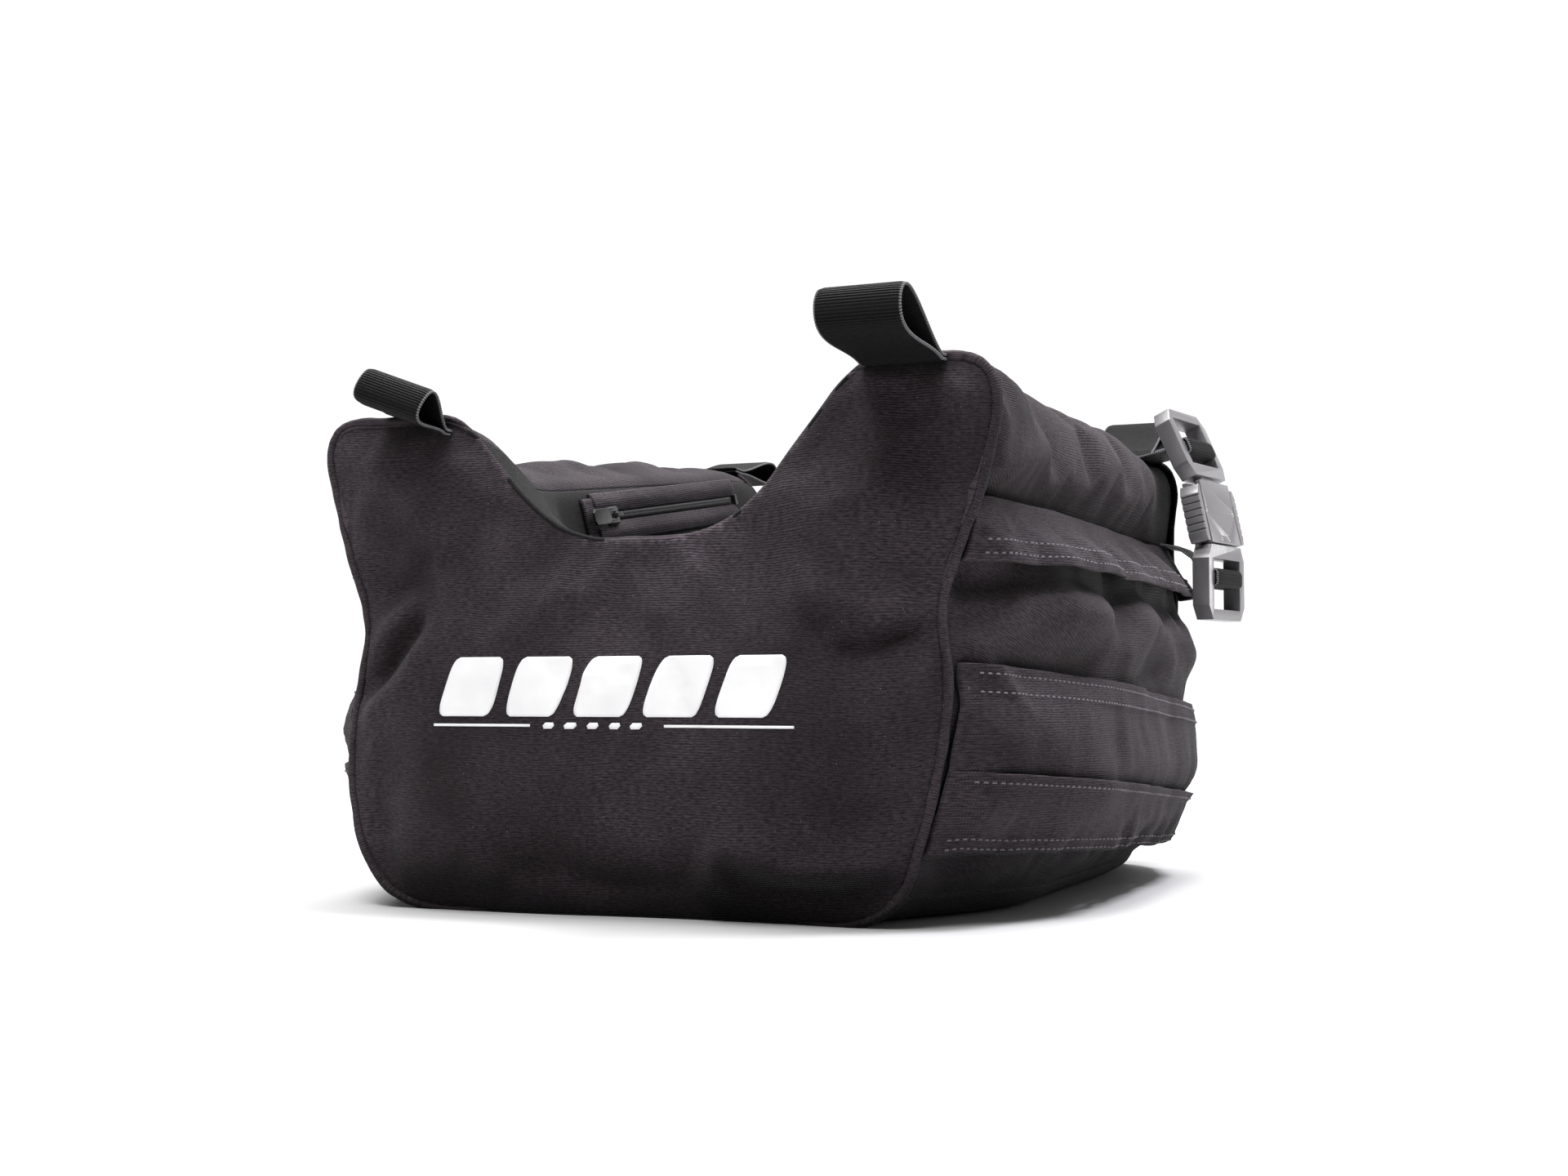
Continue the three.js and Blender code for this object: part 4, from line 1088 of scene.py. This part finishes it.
def wrap_path(root, direction, bend_degrees):
    """The closed path of a strap round a frame's bar, as points and normals in the buckle's frame."""
    half, low, high, round_by = 6.6, 14.4, 23.6, 2.6
    corners = [(-half, low), (half, low), (half, high), (-half, high)]
    path = []
    for k, (x, z) in enumerate(corners):
        before, after = np.array(corners[k - 1], float), np.array(corners[(k + 1) % 4], float)
        at = np.array((x, z), float)
        start = at + (before - at) / np.linalg.norm(before - at) * round_by
        stop = at + (after - at) / np.linalg.norm(after - at) * round_by
        for t in np.linspace(0, 1, 7):
            path.append(start * (1 - t) ** 2 + at * 2 * t * (1 - t) + stop * t * t)
    path = resample(np.array(path + [path[0]]), 90)
    ahead = np.gradient(path, axis=0)
    out = np.stack([ahead[:, 1], -ahead[:, 0]], axis=1)
    tilt = math.radians(bend_degrees)
    turned = []
    for pairs in (path, out):
        x, z = pairs[:, 0], direction * pairs[:, 1]
        across = x * math.cos(tilt) + z * math.sin(tilt)
        turned.append(np.stack([across, 0 * x, z * math.cos(tilt) - x * math.sin(tilt)], 1))
    turned[0][:, 2] += root
    return turned


def strap_piece(name, path, normals, width_axis, width, body, bends_to=None):
    """A strap that rides a body, or, when bends_to is given, stays where it is built without riding any body;
    nothing bends it.
    """
    points, faces, uv = webbing_ribbon(path, normals, width_axis, width)
    strap = facing_out(new_object(name + "_webbing", points, faces, WEBBING, uv=uv))
    if bends_to:
        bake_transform(strap)
    else:
        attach(strap, body)
    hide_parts(name)


across_buckle = BUCKLE_TURN @ np.array([0, 1, 0])
for name, root, direction, bend_by, body in (
    ("upper_strap_wrap", 40.3, 1, -12, "plug"),
    ("lower_strap_wrap", 1.0, -1, 12, "bag"),
):
    path, out = wrap_path(root, direction, bend_by)
    strap_piece(name, buckle_frame(path), out @ BUCKLE_TURN.T, across_buckle, WEBBING_WIDTH - 0.6, body)


def strap_normals(path, up):
    ahead = np.gradient(np.asarray(path, float), axis=0)
    return np.cross(ahead, np.cross(up, ahead))


STRAP_Y = 162.0
STRAP_LIFT = 1.6
# The upper strap is sewn down at its root on the ridge, and lifts off from there as the plug comes out; these
# two places are passed with it, but nothing here bends it.
STRAP_ROOT = (0.118, 0.162, 0.246)
STRAP_AT_PLUG = (0.172, 0.163, 0.241)


def on_ridge(x):
    top = surface_from((x, STRAP_Y, 300), (0, 0, -1))[0].z
    return (x, STRAP_Y, top + STRAP_LIFT)


strap_bed = [on_ridge(x) for x in range(114, 158, 4)]
over_edge = [(164, STRAP_Y, 239), (169, STRAP_Y + 1, 240), (173.5, STRAP_Y + 2, 241.5)]
down_side = [(166, STRAP_Y, 186), (176, STRAP_Y, 184), (184, STRAP_Y, 178), (188.6, STRAP_Y + 2, 168)]
upper_path = resample(strap_bed + over_edge, 60)
lower_path = resample(down_side, 40)
upper_normals = strap_normals(upper_path, (0, 0, 1))
lower_normals = strap_normals(lower_path, (1, 0, 0.3))
upper_bend = ("plug", STRAP_ROOT, STRAP_AT_PLUG)
strap_piece("upper_strap", upper_path, upper_normals, (0, 1, 0), WEBBING_WIDTH, "bag", upper_bend)
strap_piece("lower_strap", lower_path, lower_normals, (0, 1, 0), WEBBING_WIDTH, "bag")

# ---- Zip ----

ZIP_AT = np.array([-99.273, -42.0, 195.0])
ZIP_ALONG = np.array([-0.02613, 0.98927, 0.14373])
ZIP_UP = np.array([-0.17697, -0.14608, 0.97332])
ZIP_OUT = np.array([0.98387, 0.0, 0.17889])
ZIP_LENGTH = 186.0


def zip_frame(points):
    points = np.asarray(points, float)
    return ZIP_AT + points[:, :1] * ZIP_ALONG + points[:, 1:2] * ZIP_UP + points[:, 2:3] * ZIP_OUT


def zip_sheet(node, low, high, start, stop, lift, crown):
    """A cloth strip of the zip, crowned across its width, from start to stop along the zip."""
    along = np.arange(start, stop + 0.1, 1.5)
    across = np.linspace(low, high, 13)
    outer, inner, uv = [], [], []
    for x in along:
        arch = [crown * math.sin(math.pi * (y - low) / (high - low)) for y in across]
        top = [lift + a + 0.25 * noise.noise((x / 9, y / 4, low)) for a, y in zip(arch, across)]
        outer.append(zip_frame([(x, y, z) for y, z in zip(across, top)]))
        inner.append(zip_frame([(x, y, -0.4) for y in across]))
        uv += [(x, y) for y in across]
    points, faces = thick_sheet(np.array(outer), np.array(inner))
    sheet = facing_out(new_object(node + "_cloth", points, faces, CANVAS, uv=uv + uv))
    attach(sheet, "bag")
    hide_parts(node)


zip_sheet("zip_upper_tape", 2.6, 13.6, -6, ZIP_LENGTH, 1.2, 2.2)
zip_sheet("zip_lower_tape", -13.6, -2.6, -6, ZIP_LENGTH, 1.2, 2.2)
zip_sheet("zip_garage", -11, 11, -17, -1, 1.8, 1.2)
TOOTH_STEP = 1.6
tooth_parts = []
for k in range(int((ZIP_LENGTH - 8) / TOOTH_STEP)):
    x = 4.5 + k * TOOTH_STEP
    for hand in (-1, 1):
        at = zip_frame([(x + hand * 0.4, hand * 0.9, 1.4)])[0]
        lean = ZIP_UP + ZIP_ALONG * 0.35 * hand
        tooth_parts.append(capsule(at, lean, ZIP_OUT, 3.4, 0.62))
coil = new_object("zip_coil_teeth", *joined(*tooth_parts), COIL)
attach(coil, "bag")
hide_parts("zip_coil")

# ---- Print on the front ----

PRINT_STEP = 2.0


def rounded_plate(x0, z0, x1, z1, corner, lean=0.0):
    """A flat printed shape as a grid between two upright edges, leaning by lean millimetres."""
    columns = max(int((x1 - x0) / PRINT_STEP), 2) + 1
    rows = max(int((z1 - z0) / 1.0), 1) + 1
    grid = []
    for i in range(rows):
        v = i / (rows - 1)
        trim = corner * (1 - math.sqrt(max(0.0, 1 - (2 * v - 1) ** 4)))
        grid.append([(x0 + trim + (x1 - x0 - 2 * trim) * j / (columns - 1) + lean * v, z0 + (z1 - z0) * v)
                     for j in range(columns)])
    return grid


def make_print():
    """A plain ornament in place of the mark: slanted bars over a split rule, laid on the cloth."""
    shapes = [rounded_plate(-96 + 35 * k, 90, -68 + 35 * k, 117, lean=9, corner=3.5) for k in range(5)]
    shapes += [rounded_plate(-98, 85.4, -46, 86.6, corner=0.5), rounded_plate(20, 85.4, 84, 86.6, corner=0.5)]
    shapes += [rounded_plate(-40 + 11 * k, 84.6, -34 + 11 * k, 87.4, lean=1, corner=1.0) for k in range(5)]
    points, faces = [], []
    for grid in shapes:
        start = len(points)
        for x, z in [p for row in grid for p in row]:
            hit = surface_from((x, -300, z), (0, 1, 0))
            points.append((hit[0].x, hit[0].y - 0.35, hit[0].z))
        faces += [tuple(start + v for v in f) for f in grid_faces(len(grid), len(grid[0]))]
    ink = new_object("front_print", points, faces, INK)
    thick = ink.modifiers.new("thick", "SOLIDIFY")
    thick.thickness = 0.25 * MM
    apply_modifiers(ink)
    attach(ink, "bag")


make_print()
